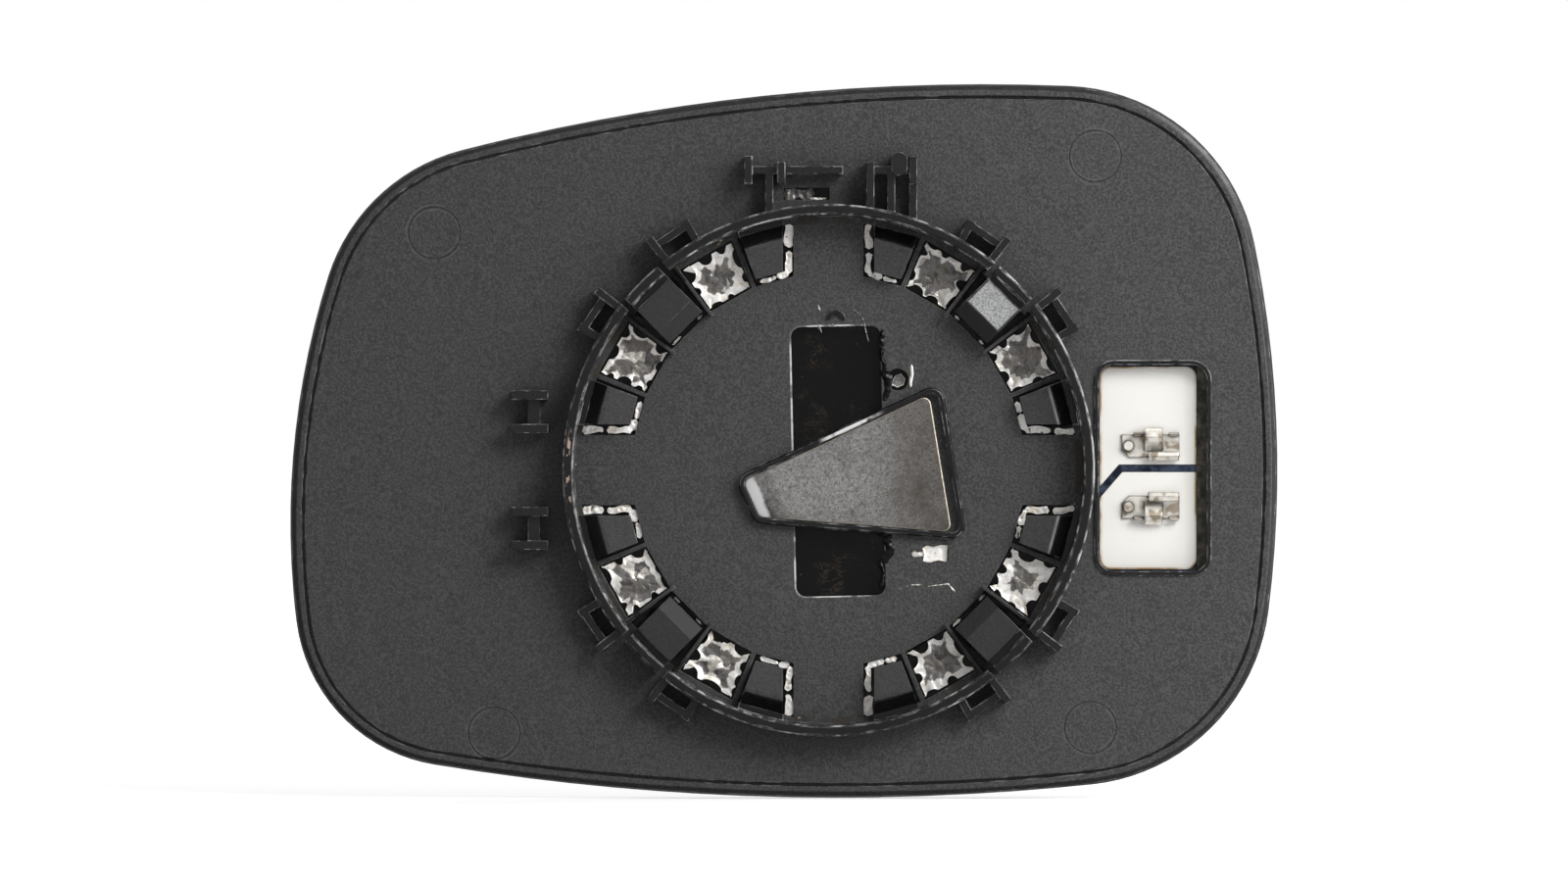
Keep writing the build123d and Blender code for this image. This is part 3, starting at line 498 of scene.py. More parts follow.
def carrier_material():
    """Moulded plastic: matte spark-eroded grain on the plate, darker and glossier on what stands on it."""
    g = Graph("carrier_plastic")
    x, y, z = g.axes()
    radius = g.length(x, z)
    sag = g.math("DIVIDE", g.math("MULTIPLY", radius, radius), 2 * CURVE_RADIUS)
    rise = g.math("SUBTRACT", g.math("SUBTRACT", PLATE_BACK, sag), y)

    # Where the moulding is matte and where it is glossy
    standing = g.fade(rise, *STANDING_HEIGHT_STEP)
    front = g.fade(rise, *FRONT_HEIGHT_STEP)
    outside_ring = g.fade(radius, *OUTSIDE_RING_STEP)
    on_tongue = g.both(g.band(rise, *TONGUE_HEIGHT_BAND), g.band(radius, *TONGUE_RADIUS_BAND))
    from_diagonal = g.math("ABSOLUTE", g.math("SUBTRACT", g.math("ABSOLUTE", x), g.math("ABSOLUTE", z)))
    on_latch = g.both(g.fade(rise, *LATCH_HEIGHT_STEP), g.fade(radius, *LATCH_RADIUS_STEP))
    on_latch = g.both(on_latch, g.fade(from_diagonal, *LATCH_SIDE_STEP))
    matte_part = g.math("MAXIMUM", on_tongue, on_latch)
    on_rim = g.both(g.fade(radius, *RIM_RADIUS_STEP), g.fade(rise, *RIM_HEIGHT_STEP, 0.0, 0.85))
    glossy = g.math("MAXIMUM", g.both(standing, g.rest(matte_part)), front)
    glossy = g.math("MAXIMUM", glossy, on_rim)

    # Plate: fine grain, pits and slow changes of tone, with paler grain to the right
    grain = g.noise(0.42 * MM, detail=3.0, roughness=0.65)
    pits = g.noise(0.9 * MM, detail=2.0, roughness=0.6, distortion=0.6)
    clouds = g.noise(26 * MM, detail=4.0, roughness=0.55)
    crests = g.fade(grain, 0.40, 0.64)
    plate_colour = g.mix(clouds, grey(0.026), grey(0.034))
    plate_colour = g.mix(crests, plate_colour, grey(0.062))
    plate_colour = g.mix(g.fade(pits, 0.48, 0.30, 0.0, 0.5), plate_colour, grey(0.017))
    dust = g.both(g.fade(x, *RIGHTWARD_PALING_STEP, 0.0, 0.36), g.fade(clouds, 0.2, 0.8, 0.8, 1.0))
    plate_colour = g.mix(dust, plate_colour, g.mix(crests, grey(0.050), grey(0.122)))

    # Ring, rim and lugs, and the matte tongues and latches
    glossy_colour = g.mix(clouds, grey(0.005), grey(0.010))
    glossy_colour = g.mix(g.both(outside_ring, g.rest(front)), glossy_colour, grey(0.012))
    tongue_colour = g.mix(g.fade(grain, 0.35, 0.70), grey(0.030), grey(0.052))
    tongue_colour = g.mix(g.both(on_latch, 0.6), tongue_colour, grey(0.014))
    colour = g.mix(standing, plate_colour, tongue_colour)
    colour = g.mix(glossy, colour, glossy_colour)

    # Brownish foot of the ring with a few painted copper glints
    ring_foot = g.both(g.band(radius, *RING_FOOT_RADIUS_BAND), g.fade(rise, *RING_FOOT_HEIGHT_STEP))
    brown = g.both(ring_foot, g.fade(g.noise(5 * MM), 0.42, 0.62, 0.0, 0.7))
    colour = g.mix(brown, colour, FOOT_BROWN)
    glints = g.both(ring_foot, g.fade(g.noise(1.5 * MM, detail=3.0, distortion=1.0), 0.70, 0.75))
    colour = g.mix(glints, colour, FOOT_COPPER_GLINT)

    # Faint ejector circles, painted dark as shade in their lines and with painted highlights round them, and
    # the pale painted reflection on the top of a latch
    circle, ejector_highlight = ejector_marks(g)
    colour = g.mix(g.both(circle, 0.6), colour, grey(0.014))
    colour = g.mix(g.both(ejector_highlight, 0.45), colour, grey(0.12))
    # Pale painted reflection on the flat top of the upper right latch
    face = latch_reflection(g, x, y, z)
    speckle = g.fade(g.noise(0.34 * MM, detail=3.0), 0.35, 0.65)
    colour = g.mix(face, colour, g.mix(speckle, grey(0.20, -0.01), grey(0.42, -0.01)))

    # Painted highlights along sharp edges, in broken lines, stronger on glossy parts and as glints on the
    # lugs
    soft_normal, edge = g.edge_wear_and_highlight(0.26 * MM)
    broken = g.fade(g.noise(2.4 * MM, detail=3.0), 0.44, 0.64, 0.02, 1.0)
    broken = g.both(broken, g.fade(g.noise(12 * MM, detail=2.0), 0.40, 0.60, 0.12, 1.0))
    lug_edge_glints = g.both(outside_ring, standing, g.fade(g.noise(1.8 * MM, detail=2.0), 0.50, 0.66, 0.0, 0.75))
    broken = g.math("MAXIMUM", broken, lug_edge_glints)
    lit = g.math("ADD", g.both(glossy, 0.50), 0.30)
    colour = g.mix(g.both(edge, broken, lit), colour, grey(0.80))

    # Painted highlights in lines on the ring's mouth, on the tongues' folds, round the rectangle and as a
    # streak on the frame, painted copper glints, and a few pale scuffs
    mouth_highlights, mouth_glints = ring_mouth_highlights(g, x, y, z, radius)
    colour = g.mix(mouth_highlights, colour, grey(0.46))
    colour = g.mix(mouth_glints, colour, MOUTH_COPPER_GLINT)
    colour = g.mix(tongue_fold_highlights(g, x, z, rise), colour, grey(0.26))
    colour = g.mix(rectangle_edge_highlight(g, x, z, rise), colour, grey(0.62))
    colour = g.mix(frame_highlight_streak(g, x, z, rise), colour, grey(0.72))
    scuffs = g.fade(g.noise(1.6 * MM, detail=5.0, roughness=0.7, distortion=1.5), 0.68, 0.80)
    colour = g.mix(g.both(scuffs, 0.25), colour, grey(0.11))

    # Gloss
    matte = g.fade(grain, 0.3, 0.7, 0.52, 0.70)
    gloss = g.fade(g.noise(3 * MM, detail=3.0), 0.3, 0.7, 0.16, 0.32)
    gloss = g.math("ADD", gloss, g.both(front, 0.16))
    roughness = g.blend(g.both(glossy, g.rest(face)), matte, gloss)

    # Relief of the grain, smoother where it is glossy, over a slow wave
    relief = g.math("ADD", grain, g.both(pits, 1.2))
    relief = g.both(relief, g.rest(g.both(glossy, 0.85)))
    relief = g.math("SUBTRACT", relief, g.both(circle, 1.5))
    normal = g.bump(relief, 0.08 * MM, 0.8, soft_normal)
    normal = g.bump(g.noise(5 * MM, detail=2.0), 0.35 * MM, 0.4, normal)
    g.set(Base_Color=colour, Roughness=roughness, Normal=normal, Specular_IOR_Level=0.36)
    return g.material


def mirror_material():
    """Silvered glass, with a faint haze of wiping marks in its gloss."""
    g = Graph("silvered_glass")
    wiping = g.noise(30 * MM, detail=5.0, roughness=0.6, distortion=2.0)
    dust = g.fade(g.cells(5 * MM), 0.045, 0.02)
    colour = g.mix(wiping, GLASS_DULL, GLASS_CLEAR)
    colour = g.mix(g.both(dust, 0.10), colour, grey(0.6))
    roughness = g.fade(wiping, 0.35, 0.75, 0.015, 0.05)
    normal = g.bump(g.noise(60 * MM, detail=1.0), 0.02 * MM, 0.2)
    g.set(Base_Color=colour, Roughness=roughness, Normal=normal, Metallic=1.0)
    return g.material


def film_material():
    """Silver film with brownish stains, dark where it shows beside the white pads."""
    g = Graph("heater_foil")
    x = g.axes()[0]
    bare = g.fade(x, TERMINAL_WINDOW_LEFT + TERMINAL_WINDOW_SOFT, TERMINAL_WINDOW_LEFT)
    silver = g.mix(g.noise(4 * MM, detail=3.0), FILM_SILVER, FILM_STAIN)
    colour = g.mix(bare, FILM_DARK, silver)
    creases = g.noise(1.1 * MM, detail=5.0, roughness=0.6, distortion=1.2)
    roughness = g.fade(creases, 0.3, 0.7, 0.16, 0.4)
    normal = g.bump(creases, 0.4 * MM, 0.6)
    g.set(Base_Color=colour, Metallic=bare, Roughness=roughness, Normal=normal)
    return g.material


def crumpled_material():
    """Crumpled foil: painted highlights along its torn edges, duller and browner in the middle."""
    g = Graph("crumpled_foil")
    edge = g.node("Attribute", attribute_name="edge").outputs["Fac"]
    stains = g.noise(2.2 * MM, detail=4.0, roughness=0.6, distortion=0.6)
    weave = g.noise(0.30 * MM, detail=2.0)
    dull = g.mix(g.fade(stains, 0.36, 0.64), FOIL_DULL, FOIL_STAIN)
    dull = g.mix(g.fade(weave, 0.45, 0.70, 0.0, 0.5), dull, FOIL_WEAVE)

    # Facets with warped borders, some with painted reflections, a few of them bright
    warped = g.node("TexNoise", {"Vector": g.place, "Scale": 1 / (2.0 * MM)}).outputs["Color"]
    warped = g.node("VectorMath", {0: warped, "Scale": 1.6 * MM}, operation="SCALE").outputs[0]
    warped = g.node("VectorMath", {0: g.place, 1: warped}, operation="ADD").outputs[0]
    facets = g.node("TexVoronoi", {"Vector": warped, "Scale": 1 / (2.5 * MM)}).outputs["Color"]
    facet = g.node("SeparateXYZ", {0: facets}).outputs[0]
    dull = g.mix(g.both(g.fade(facet, 0.54, 0.60), 0.55), dull, FOIL_FACET_REFLECTION)
    dull = g.mix(g.both(g.fade(facet, 0.82, 0.88), 0.75), dull, FOIL_BRIGHT_REFLECTION)

    bright = g.mix(g.fade(stains, 0.45, 0.75), FOIL_EDGE_HIGHLIGHT, FOIL_STAINED_HIGHLIGHT)
    colour = g.mix(g.fade(edge, 0.78, 0.86), dull, bright)
    creases = g.noise(1.0 * MM, detail=4.0, roughness=0.6, distortion=0.8)
    roughness = g.fade(creases, 0.3, 0.7, 0.24, 0.44)
    normal = g.bump(creases, 0.20 * MM, 0.6)
    metal = g.fade(edge, 0.78, 0.86, 0.75, 0.22)
    g.set(Base_Color=colour, Metallic=metal, Roughness=roughness, Normal=normal)
    return g.material


def adhesive_material():
    """Glossy black sheet with faint brown scratches, navy between the pads and earthy to their right."""
    g = Graph("black_adhesive")
    x = g.axes()[0]
    scratch = g.band(g.noise(9 * MM, detail=6.0, roughness=0.75, distortion=3.0), 0.500, 0.508, 0.516, 0.524)
    scratch = g.both(scratch, g.fade(g.noise(7 * MM), 0.52, 0.66))
    colour = g.mix(g.both(scratch, 0.7), grey(0.0030), SCRATCH_BROWN)
    specks = g.fade(g.cells(3.4 * MM), 0.055, 0.03)
    colour = g.mix(g.both(specks, 0.4), colour, grey(0.14))

    window_end = TERMINAL_WINDOW_LEFT + TERMINAL_WINDOW_SOFT
    gap = g.band(x, TERMINAL_WINDOW_LEFT, window_end, PAD_RIGHT, PAD_RIGHT + PAD_SOFT)
    marbling = g.fade(g.noise(2 * MM, detail=4.0), 0.38, 0.66)
    colour = g.mix(gap, colour, g.mix(marbling, NAVY_DARK, NAVY_PALE))
    strip = g.fade(x, PAD_RIGHT, PAD_RIGHT + PAD_SOFT)
    soiling = g.fade(g.noise(3 * MM, detail=5.0, roughness=0.7), 0.36, 0.66)
    colour = g.mix(strip, colour, g.mix(soiling, EARTH_DARK, EARTH_PALE))

    roughness = g.fade(g.noise(3 * MM, detail=4.0), 0.3, 0.75, 0.12, 0.34)
    normal = g.bump(g.noise(5 * MM, detail=3.0, distortion=0.5), 0.20 * MM, 0.35)
    g.set(Base_Color=colour, Roughness=roughness, Normal=normal, Specular_IOR_Level=0.22)
    return g.material


def steel_material():
    """Grained grey sheet steel, browner to the right, with a painted highlight on its bevelled tip and
    painted golden highlights at its edges.
    """
    g = Graph("grained_steel")
    x, _, z = g.axes()
    grain = g.noise(0.40 * MM, detail=4.0, roughness=0.7, distortion=1.2)
    stains = g.noise(7 * MM, detail=4.0, roughness=0.6)
    colour = g.mix(g.fade(grain, 0.36, 0.64), STEEL_DARK, STEEL_PALE)
    brown = g.math("ADD", g.fade(x, *STEEL_BROWN_STEP, 0.0, 0.70), g.fade(stains, 0.40, 0.74, -0.12, 0.34))
    colour = g.mix(brown, colour, STEEL_BROWN)
    along = g.math("ADD", x, g.math("MULTIPLY", z, STEEL_LEAN))
    shade = g.both(g.fade(along, *STEEL_SHADE_STEP), g.fade(stains, 0.40, 0.60, 0.3, 1.0))
    colour = g.mix(g.both(shade, 0.8), colour, STEEL_SHADE)
    uneven = g.math("ADD", along, g.math("MULTIPLY", stains, 3.0 * MM))
    tip = g.fade(uneven, *STEEL_TIP_STEP)
    colour = g.mix(tip, colour, STEEL_TIP_HIGHLIGHT)
    soft_normal, edge = g.edge_wear_and_highlight(0.42 * MM)
    colour = g.mix(edge, colour, STEEL_GOLDEN_GLINT)
    roughness = g.fade(grain, 0.3, 0.7, 0.40, 0.60)
    normal = g.bump(grain, 0.07 * MM, 0.6, soft_normal)
    metal = g.blend(tip, 0.75, 0.20)
    g.set(Base_Color=colour, Roughness=roughness, Normal=normal, Metallic=metal)
    return g.material


def pad_material():
    """White pad with a slight weave, amber along the border of both pads."""
    g = Graph("white_pad")
    x, _, z = g.axes()
    weave = g.noise(0.35 * MM, detail=2.0)
    colour = g.mix(g.noise(7 * MM, detail=3.0), PAD_WHITE, PAD_CREAM)
    colour = g.mix(g.fade(weave, 0.55, 0.75, 0.0, 0.25), colour, PAD_WEAVE)
    over = []
    for value, centre, half in [(x, *PAD_FIELD_X), (z, *PAD_FIELD_Z)]:
        from_centre = g.math("ABSOLUTE", g.math("SUBTRACT", value, centre))
        over.append(g.math("MAXIMUM", g.math("SUBTRACT", from_centre, half - PAD_ROUND), 0.0))
    from_border = g.math("SUBTRACT", PAD_ROUND, g.length(*over))
    uneven = g.fade(g.noise(5 * MM, detail=3.0), 0.35, 0.65, 0.25, 1.0)
    tint = g.both(g.fade(from_border, *PAD_TINT_STEP, 0.0, 0.35), uneven)
    colour = g.mix(tint, colour, PAD_TINT)
    line = g.both(g.fade(from_border, *PAD_LINE_STEP), uneven)
    colour = g.mix(line, colour, PAD_AMBER)
    normal = g.bump(weave, 0.05 * MM, 0.4)
    g.set(Base_Color=colour, Roughness=g.fade(weave, 0.3, 0.7, 0.75, 0.92), Normal=normal)
    return g.material


def tinned_material():
    """Tinned sheet, beige-grey with bright spots, brown along its cut edges, and painted shade in its
    corners.
    """
    g = Graph("tinned_sheet")
    blotches = g.noise(2.4 * MM, detail=2.0, roughness=0.5)
    colour = g.mix(g.fade(blotches, 0.51, 0.63), TIN_BRIGHT, TIN_BEIGE)
    soft_normal, edge = g.edge_wear_and_highlight(0.42 * MM)
    broken = g.fade(g.noise(1.6 * MM, detail=2.0), 0.34, 0.50, 0.5, 1.0)
    colour = g.mix(g.both(edge, broken), colour, TIN_EDGE)
    # Painted shade in corners and folds, from ambient occlusion
    open_air = g.node("AmbientOcclusion", {"Distance": 1.4 * MM}, samples=6).outputs["AO"]
    colour = g.mix(g.fade(open_air, 0.93, 0.55, 0.0, 0.98), colour, TIN_CORNER_SHADE)
    roughness = g.fade(blotches, 0.3, 0.7, 0.16, 0.32)
    normal = g.bump(g.noise(2.2 * MM, detail=1.0), 0.30 * MM, 0.7, soft_normal)
    g.set(Base_Color=colour, Roughness=roughness, Normal=normal, Metallic=0.45)
    return g.material


def new_piece(name, vertices, faces, material):
    """Mesh piece that rides on the part, with smooth faces and sharp folds."""
    mesh = bpy.data.meshes.new(name)
    mesh.from_pydata(vertices, [], faces)
    mesh.validate()
    mesh.shade_smooth()
    mesh.set_sharp_from_angle(angle=SHARP_FOLD)
    mesh.materials.append(material)
    piece = bpy.data.objects.new(name, mesh)
    bpy.context.scene.collection.objects.link(piece)
    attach(piece, "root")
    return piece


def outline_of(node):
    """Outline round a node as seen from behind, without hollows, taken anticlockwise."""
    points = sorted({(round(v.co.x, 6), round(v.co.z, 6)) for v in node.data.vertices})

    def half(sequence):
        """Half of the outline, which turns one way only, without its last point."""
        chain = []
        for point in sequence:
            while len(chain) > 1:
                (ax, az), (bx, bz) = chain[-2], chain[-1]
                if (bx - ax) * (point[1] - az) - (bz - az) * (point[0] - ax) > 0:
                    break
                chain.pop()
            chain.append(point)
        return chain[:-1]

    return [Vector(point) for point in half(points) + half(reversed(points))]


def resampled(points, count):
    """Points at even distances along a closed outline."""
    closed = points + points[:1]
    lengths = [(b - a).length for a, b in zip(closed, closed[1:])]
    step = sum(lengths) / count
    result = []
    index = 0
    passed = 0.0
    for number in range(count):
        target = number * step
        while passed + lengths[index] < target:
            passed += lengths[index]
            index += 1
        share = (target - passed) / lengths[index]
        result.append(closed[index].lerp(closed[index + 1], share))
    return result


def ring_faces(start, next_start, count):
    """Quads between two rings of vertices."""
    faces = []
    for number in range(count):
        after = (number + 1) % count
        faces.append((start + number, start + after, next_start + after, next_start + number))
    return faces


def grid_faces(start, rows, columns):
    """Quads of a grid of vertices, with one more vertex each way than quads."""
    faces = []
    for row in range(rows):
        for column in range(columns):
            corner = start + row * (columns + 1) + column
            faces.append((corner, corner + 1, corner + columns + 2, corner + columns + 1))
    return faces


def make_glass(material):
    """Convex glass with a bevelled edge, finer than the solid it stands for."""
    around = 320
    rings = 28
    outline = resampled(outline_of(nodes["mirror_glass"]), around)
    centre = sum(outline, Vector((0.0, 0.0))) / around
    vertices = []
    faces = []

    def add_point(axis_depth):
        """Add the middle vertex of a surface."""
        vertices.append((centre.x, layer_depth(axis_depth, *centre), centre.y))
        return len(vertices) - 1

    def add_ring(inset, share, axis_depth):
        """Add a ring of vertices at a share of the way to the inset outline."""
        start = len(vertices)
        for point in outline:
            arm = point - centre
            place = centre + arm * (share * (1 - inset / arm.length))
            vertices.append((place.x, layer_depth(axis_depth, *place), place.y))
        return start

    front_point = add_point(GLASS_FRONT)
    levels = [(GLASS_BEVEL, ring / rings, GLASS_FRONT) for ring in range(1, rings + 1)]
    levels += [(0.0, 1.0, GLASS_FRONT - GLASS_BEVEL), (0.0, 1.0, GLASS_BACK)]
    levels += [(0.0, ring / rings, GLASS_BACK) for ring in range(rings - 1, 0, -1)]
    starts = [add_ring(*level) for level in levels]
    back_point = add_point(GLASS_BACK)
    for previous, start in zip(starts, starts[1:]):
        faces += ring_faces(start, previous, around)
    for number in range(around):
        after = (number + 1) % around
        faces.append((front_point, starts[0] + after, starts[0] + number))
        faces.append((back_point, starts[-1] + number, starts[-1] + after))
    glass = new_piece("convex_glass", vertices, faces, material)
    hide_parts("mirror_glass")


def turned(point, angle):
    """Flat point turned round the ring's axis by an angle in degrees."""
    cosine = math.cos(math.radians(angle))
    sine = math.sin(math.radians(angle))
    return (point[0] * cosine - point[1] * sine, point[0] * sine + point[1] * cosine)


def wave(x, z, rate, seed):
    """Smooth uneven height between about -1 and 1 at a flat place."""
    return noise.noise(Vector((rate * x, rate * z, seed)))


def make_window_floors(material):
    """Black adhesive smeared over the film behind the windows, in a curved strip for each quarter."""
    rows = 22
    columns = 150
    vertices = []
    faces = []
    for quarter in range(4):
        start = len(vertices)
        for row in range(rows + 1):
            radius = SMEAR_INNER + (SMEAR_OUTER - SMEAR_INNER) * row / rows
            first = math.degrees(math.asin(SMEAR_SIDE / radius))
            for column in range(columns + 1):
                angle = first + (90 - 2 * first) * column / columns
                x, z = turned((radius, 0.0), angle + 90 * quarter)
                lift = (SMEAR_LIFT + SMEAR_LUMPS * wave(x, z, SMEAR_RATE, SMEAR_SEED)) * MM
                vertices.append((x * MM, layer_depth(FILM_BACK - lift, x * MM, z * MM), z * MM))
        faces += grid_faces(start, rows, columns)
    new_piece("smeared_adhesive", vertices, faces, material)


class Foil:
    """Mesh of torn foil or ragged lumps, with flat places in mm. Each vertex has a share, 1 at torn edges."""

    # Patches: swells, creases and curled edges, as rates per mm and heights in mm
    PATCH_RINGS = 18
    PATCH_LOWEST = 0.5
    SWELL_RATE = 0.33
    SWELL_HEIGHT = 0.30
    CREASE_RATE = 0.62
    CREASE_HEIGHT = 0.28
    CURL_RATE = 0.45
    CURL_HEIGHT = 0.55
    CURL_POWER = 6

    # Strips: ragged sides, a wandering middle and ripples
    STRIP_COLUMNS = 6
    STRIP_STEP = 0.16
    STRIP_NARROWEST = 0.25
    RAGGED_RATE = 0.45
    WANDER_RATE = 0.5
    WANDER_SHARE = 0.30
    RIPPLE_RATE = 1.4
    RIPPLE_HEIGHT = 0.24

    def __init__(self):
        self.vertices = []
        self.faces = []
        self.edge_shares = []

    def add(self, x, z, lift, edge_share):
        """Add a vertex at a lift over the film."""
        self.vertices.append((x * MM, layer_depth(FILM_BACK, x * MM, z * MM) - lift * MM, z * MM))
        self.edge_shares.append(max(0.0, min(1.0, edge_share)))

    def patch(self, centre, outline, lift, seed, shine=0.0):
        """Crumpled patch inside an outline, with its edges curled up."""
        around = len(outline)
        middle = len(self.vertices)
        self.add(*centre, lift, 0.0)
        previous = None
        for ring in range(1, self.PATCH_RINGS + 1):
            share = ring / self.PATCH_RINGS
            start = len(self.vertices)
            for point in outline:
                x = centre[0] + share * (point[0] - centre[0])
                z = centre[1] + share * (point[1] - centre[1])
                swell = wave(x, z, self.SWELL_RATE, seed)
                crease = abs(wave(x, z, self.CREASE_RATE, seed + 5.0))
                curl = 0.5 + wave(x, z, self.CURL_RATE, seed + 9.0)
                height = lift + self.SWELL_HEIGHT * swell + self.CREASE_HEIGHT * crease
                height += self.CURL_HEIGHT * curl * share ** self.CURL_POWER
                edge_share = shine + share + 0.30 * swell + 0.25 * crease - 0.08
                self.add(x, z, max(self.PATCH_LOWEST, height), edge_share)
            if previous is None:
                for number in range(around):
                    self.faces.append((middle, start + (number + 1) % around, start + number))
            else:
                self.faces += ring_faces(start, previous, around)
            previous = start

    def strip(self, points, width, lift, seed, dome=0.0, shine=1.0):
        """Ragged strip along straight runs between points, narrower at its ends, and domed if asked."""
        columns = self.STRIP_COLUMNS
        places = []
        for start, end in zip(points, points[1:]):
            run = Vector(end) - Vector(start)
            count = max(2, int(run.length / self.STRIP_STEP))
            aside = Vector((-run.y, run.x)).normalized()
            for number in range(count):
                places.append((Vector(start) + run * (number / count), aside))
        first = len(self.vertices)
        for number, (place, aside) in enumerate(places):
            ends = min(number, len(places) - 1 - number) / 2
            ragged = 0.90 + 0.70 * wave(place.x, place.y, self.RAGGED_RATE, seed)
            half = 0.5 * width * max(self.STRIP_NARROWEST, min(1.0, ends, ragged))
            wander = self.WANDER_SHARE * width * wave(place.x, place.y, self.WANDER_RATE, seed + 4.0)
            for column in range(columns + 1):
                spread = 2 * column / columns - 1
                spot = place + aside * (wander + spread * half)
                ripple = wave(spot.x, spot.y, self.RIPPLE_RATE, seed + 8.0)
                height = lift + dome * (1 - spread * spread)
                height += self.RIPPLE_HEIGHT * ripple * (1 - 0.9 * spread ** 4)
                self.add(spot.x, spot.y, height, shine + 0.40 * ripple)
        self.faces += grid_faces(first, len(places) - 1, columns)


def torn_outline(angle, chance):
    """Outline of foil in the open window at an angle, with round bites torn out of its sides."""
    steps = 44
    middle = (WINDOW_INNER + WINDOW_OUTER) / 2
    spread = math.tan(math.radians(STAR_HALF_ANGLE))
    outline = []
    for side in range(4):
        bites = []
        place = -1.0 + chance.uniform(*BITE_FIRST)
        while place < BITE_LAST:
            width = chance.uniform(*BITE_WIDTH)
            depth = chance.uniform(*BITE_DEPTH) * min(1.0, width / BITE_FULL_WIDTH)
            bites.append((place, width, depth))
            place += width + chance.uniform(*BITE_GAP)
        clipped = chance.uniform(*CORNER_CLIP)
        for step in range(steps):
            along = -1 + 2 * step / steps
            inward = SIDE_INSET + clipped * max(0.0, abs(along) - CORNER_START)
            for place, width, depth in bites:
                inward += depth * math.sqrt(max(0.0, 1 - ((along - place) / width) ** 2))
            x, z = turned((STAR_HALF - inward, STAR_HALF * along), 90 * side)
            outward = middle + x
            outline.append(turned((outward, z / STAR_HALF * STAR_FILL * outward * spread), angle))
    return outline


def add_tongue_slivers(foil, chance, axis, sign, seed):
    """Slivers along the free side and the inner end of a tongue's window."""
    cosine = math.cos(TONGUE_LEAN)
    sine = math.sin(TONGUE_LEAN)
    corner_x = (SLIVER_INNER - SLIVER_SIDE * sine) / cosine
    end_x = (SLIVER_INNER - SLIVER_END * sine) / cosine
    side_break = chance.uniform(0.40, 0.52)
    inner_break = chance.uniform(0.35, 0.6)
    break_x = SLIVER_OUTER + side_break * (corner_x - SLIVER_OUTER)
    inner_x = corner_x + inner_break * (end_x - corner_x)
    inner_z = SLIVER_SIDE + inner_break * (SLIVER_END - SLIVER_SIDE)
    runs = [
        ([(SLIVER_OUTER, SLIVER_SIDE), (break_x, SLIVER_SIDE)], 1.65),
        ([(break_x - 0.5, SLIVER_SIDE), (corner_x, SLIVER_SIDE)], 1.30),
        ([(corner_x + 0.2, SLIVER_SIDE), (inner_x, inner_z)], 1.45),
        ([(inner_x, inner_z), (end_x, SLIVER_END)], 1.00),
    ]
    for run, width in runs:
        placed = [turned((x, sign * z), axis) for x, z in run]
        foil.strip(placed, width, SLIVER_LIFT, seed)


def add_latch_sliver(foil, chance, axis, sign, seed):
    """Short sliver at the inner end of a latch's window."""
    low = chance.uniform(1.6, 2.6)
    high = chance.uniform(3.6, 4.3)
    run = [(WINDOW_INNER + 0.45, sign * low), (WINDOW_INNER + 0.5, sign * high)]
    foil.strip([turned(point, axis + 45) for point in run], 0.55, LATCH_SLIVER_LIFT, seed)


def make_foil(material):
    """Torn foil: stars in the open windows, slivers beside tongues and latches, and bits in the slots."""
    foil = Foil()
    sides = [(90 * quarter, sign) for quarter in range(4) for sign in (1, -1)]
    for number, (axis, sign) in enumerate(sides):
        chance = random.Random(STAR_FIRST_SEED + number)
        angle = axis + sign * CLAW_WINDOW_MIDDLE
        star = torn_outline(angle, chance)
        foil.patch(turned((STAR_MIDDLE, 0.0), angle), star, STAR_LIFT, 11.0 * number, FOIL_SHINE[number])
        add_tongue_slivers(foil, chance, axis, sign, 17.0 * number + 3.0)
        add_latch_sliver(foil, chance, axis, sign, 5.0 * number)

    # Key slot
    foil.strip([(15.2, -15.2), (17.6, -15.2)], 1.2, KEY_SLOT_LIFT, 2.0)
    key = [(17.3, -16.7), (18.6, -16.9), (20.0, -16.5), (21.7, -16.8), (21.6, -15.4), (21.8, -13.8)]
    key += [(20.4, -13.7), (19.2, -14.1), (18.0, -13.8), (17.2, -14.3), (17.5, -15.4)]
    foil.patch((19.5, -15.2), key, KEY_SLOT_LIFT, 31.0, shine=0.9)

    # Slot above the ring
    foil.strip([(-8.1, 50.4), (-5.0, 50.4), (-2.4, 50.4)], 2.2, UPPER_SLOT_LIFT, 43.0, shine=0.45)
    foil.strip([(-3.4, 49.55), (-0.2, 49.6)], 0.40, UPPER_SLIVER_LIFT, 47.0)

    # Side hole
    hole = [(11.4, 15.6), (12.6, 15.1), (13.7, 15.5), (14.0, 16.7), (13.2, 17.6), (12.2, 17.2)]
    foil.patch((12.8, 16.4), hole, SIDE_HOLE_LIFT, 53.0)

    for points, width, seed, dome, shine in PLATE_SLIVERS:
        foil.strip(points, width, PLATE_LIFT, seed, dome=dome, shine=shine)
    piece = new_piece("crumpled_foil", foil.vertices, foil.faces, material)
    shares = piece.data.attributes.new("edge", "FLOAT", "POINT")
    shares.data.foreach_set("value", foil.edge_shares)


def make_squeezed_adhesive(material):
    """Ragged lumps of adhesive on the plate, along the right edge of the rectangle and at the side hole."""
    lumps = Foil()
    for number, (points, width) in enumerate(LUMPS):
        lumps.strip(points, width, LUMP_LIFT, 7.0 * number, dome=LUMP_DOME)
    new_piece("squeezed_adhesive", lumps.vertices, lumps.faces, material)


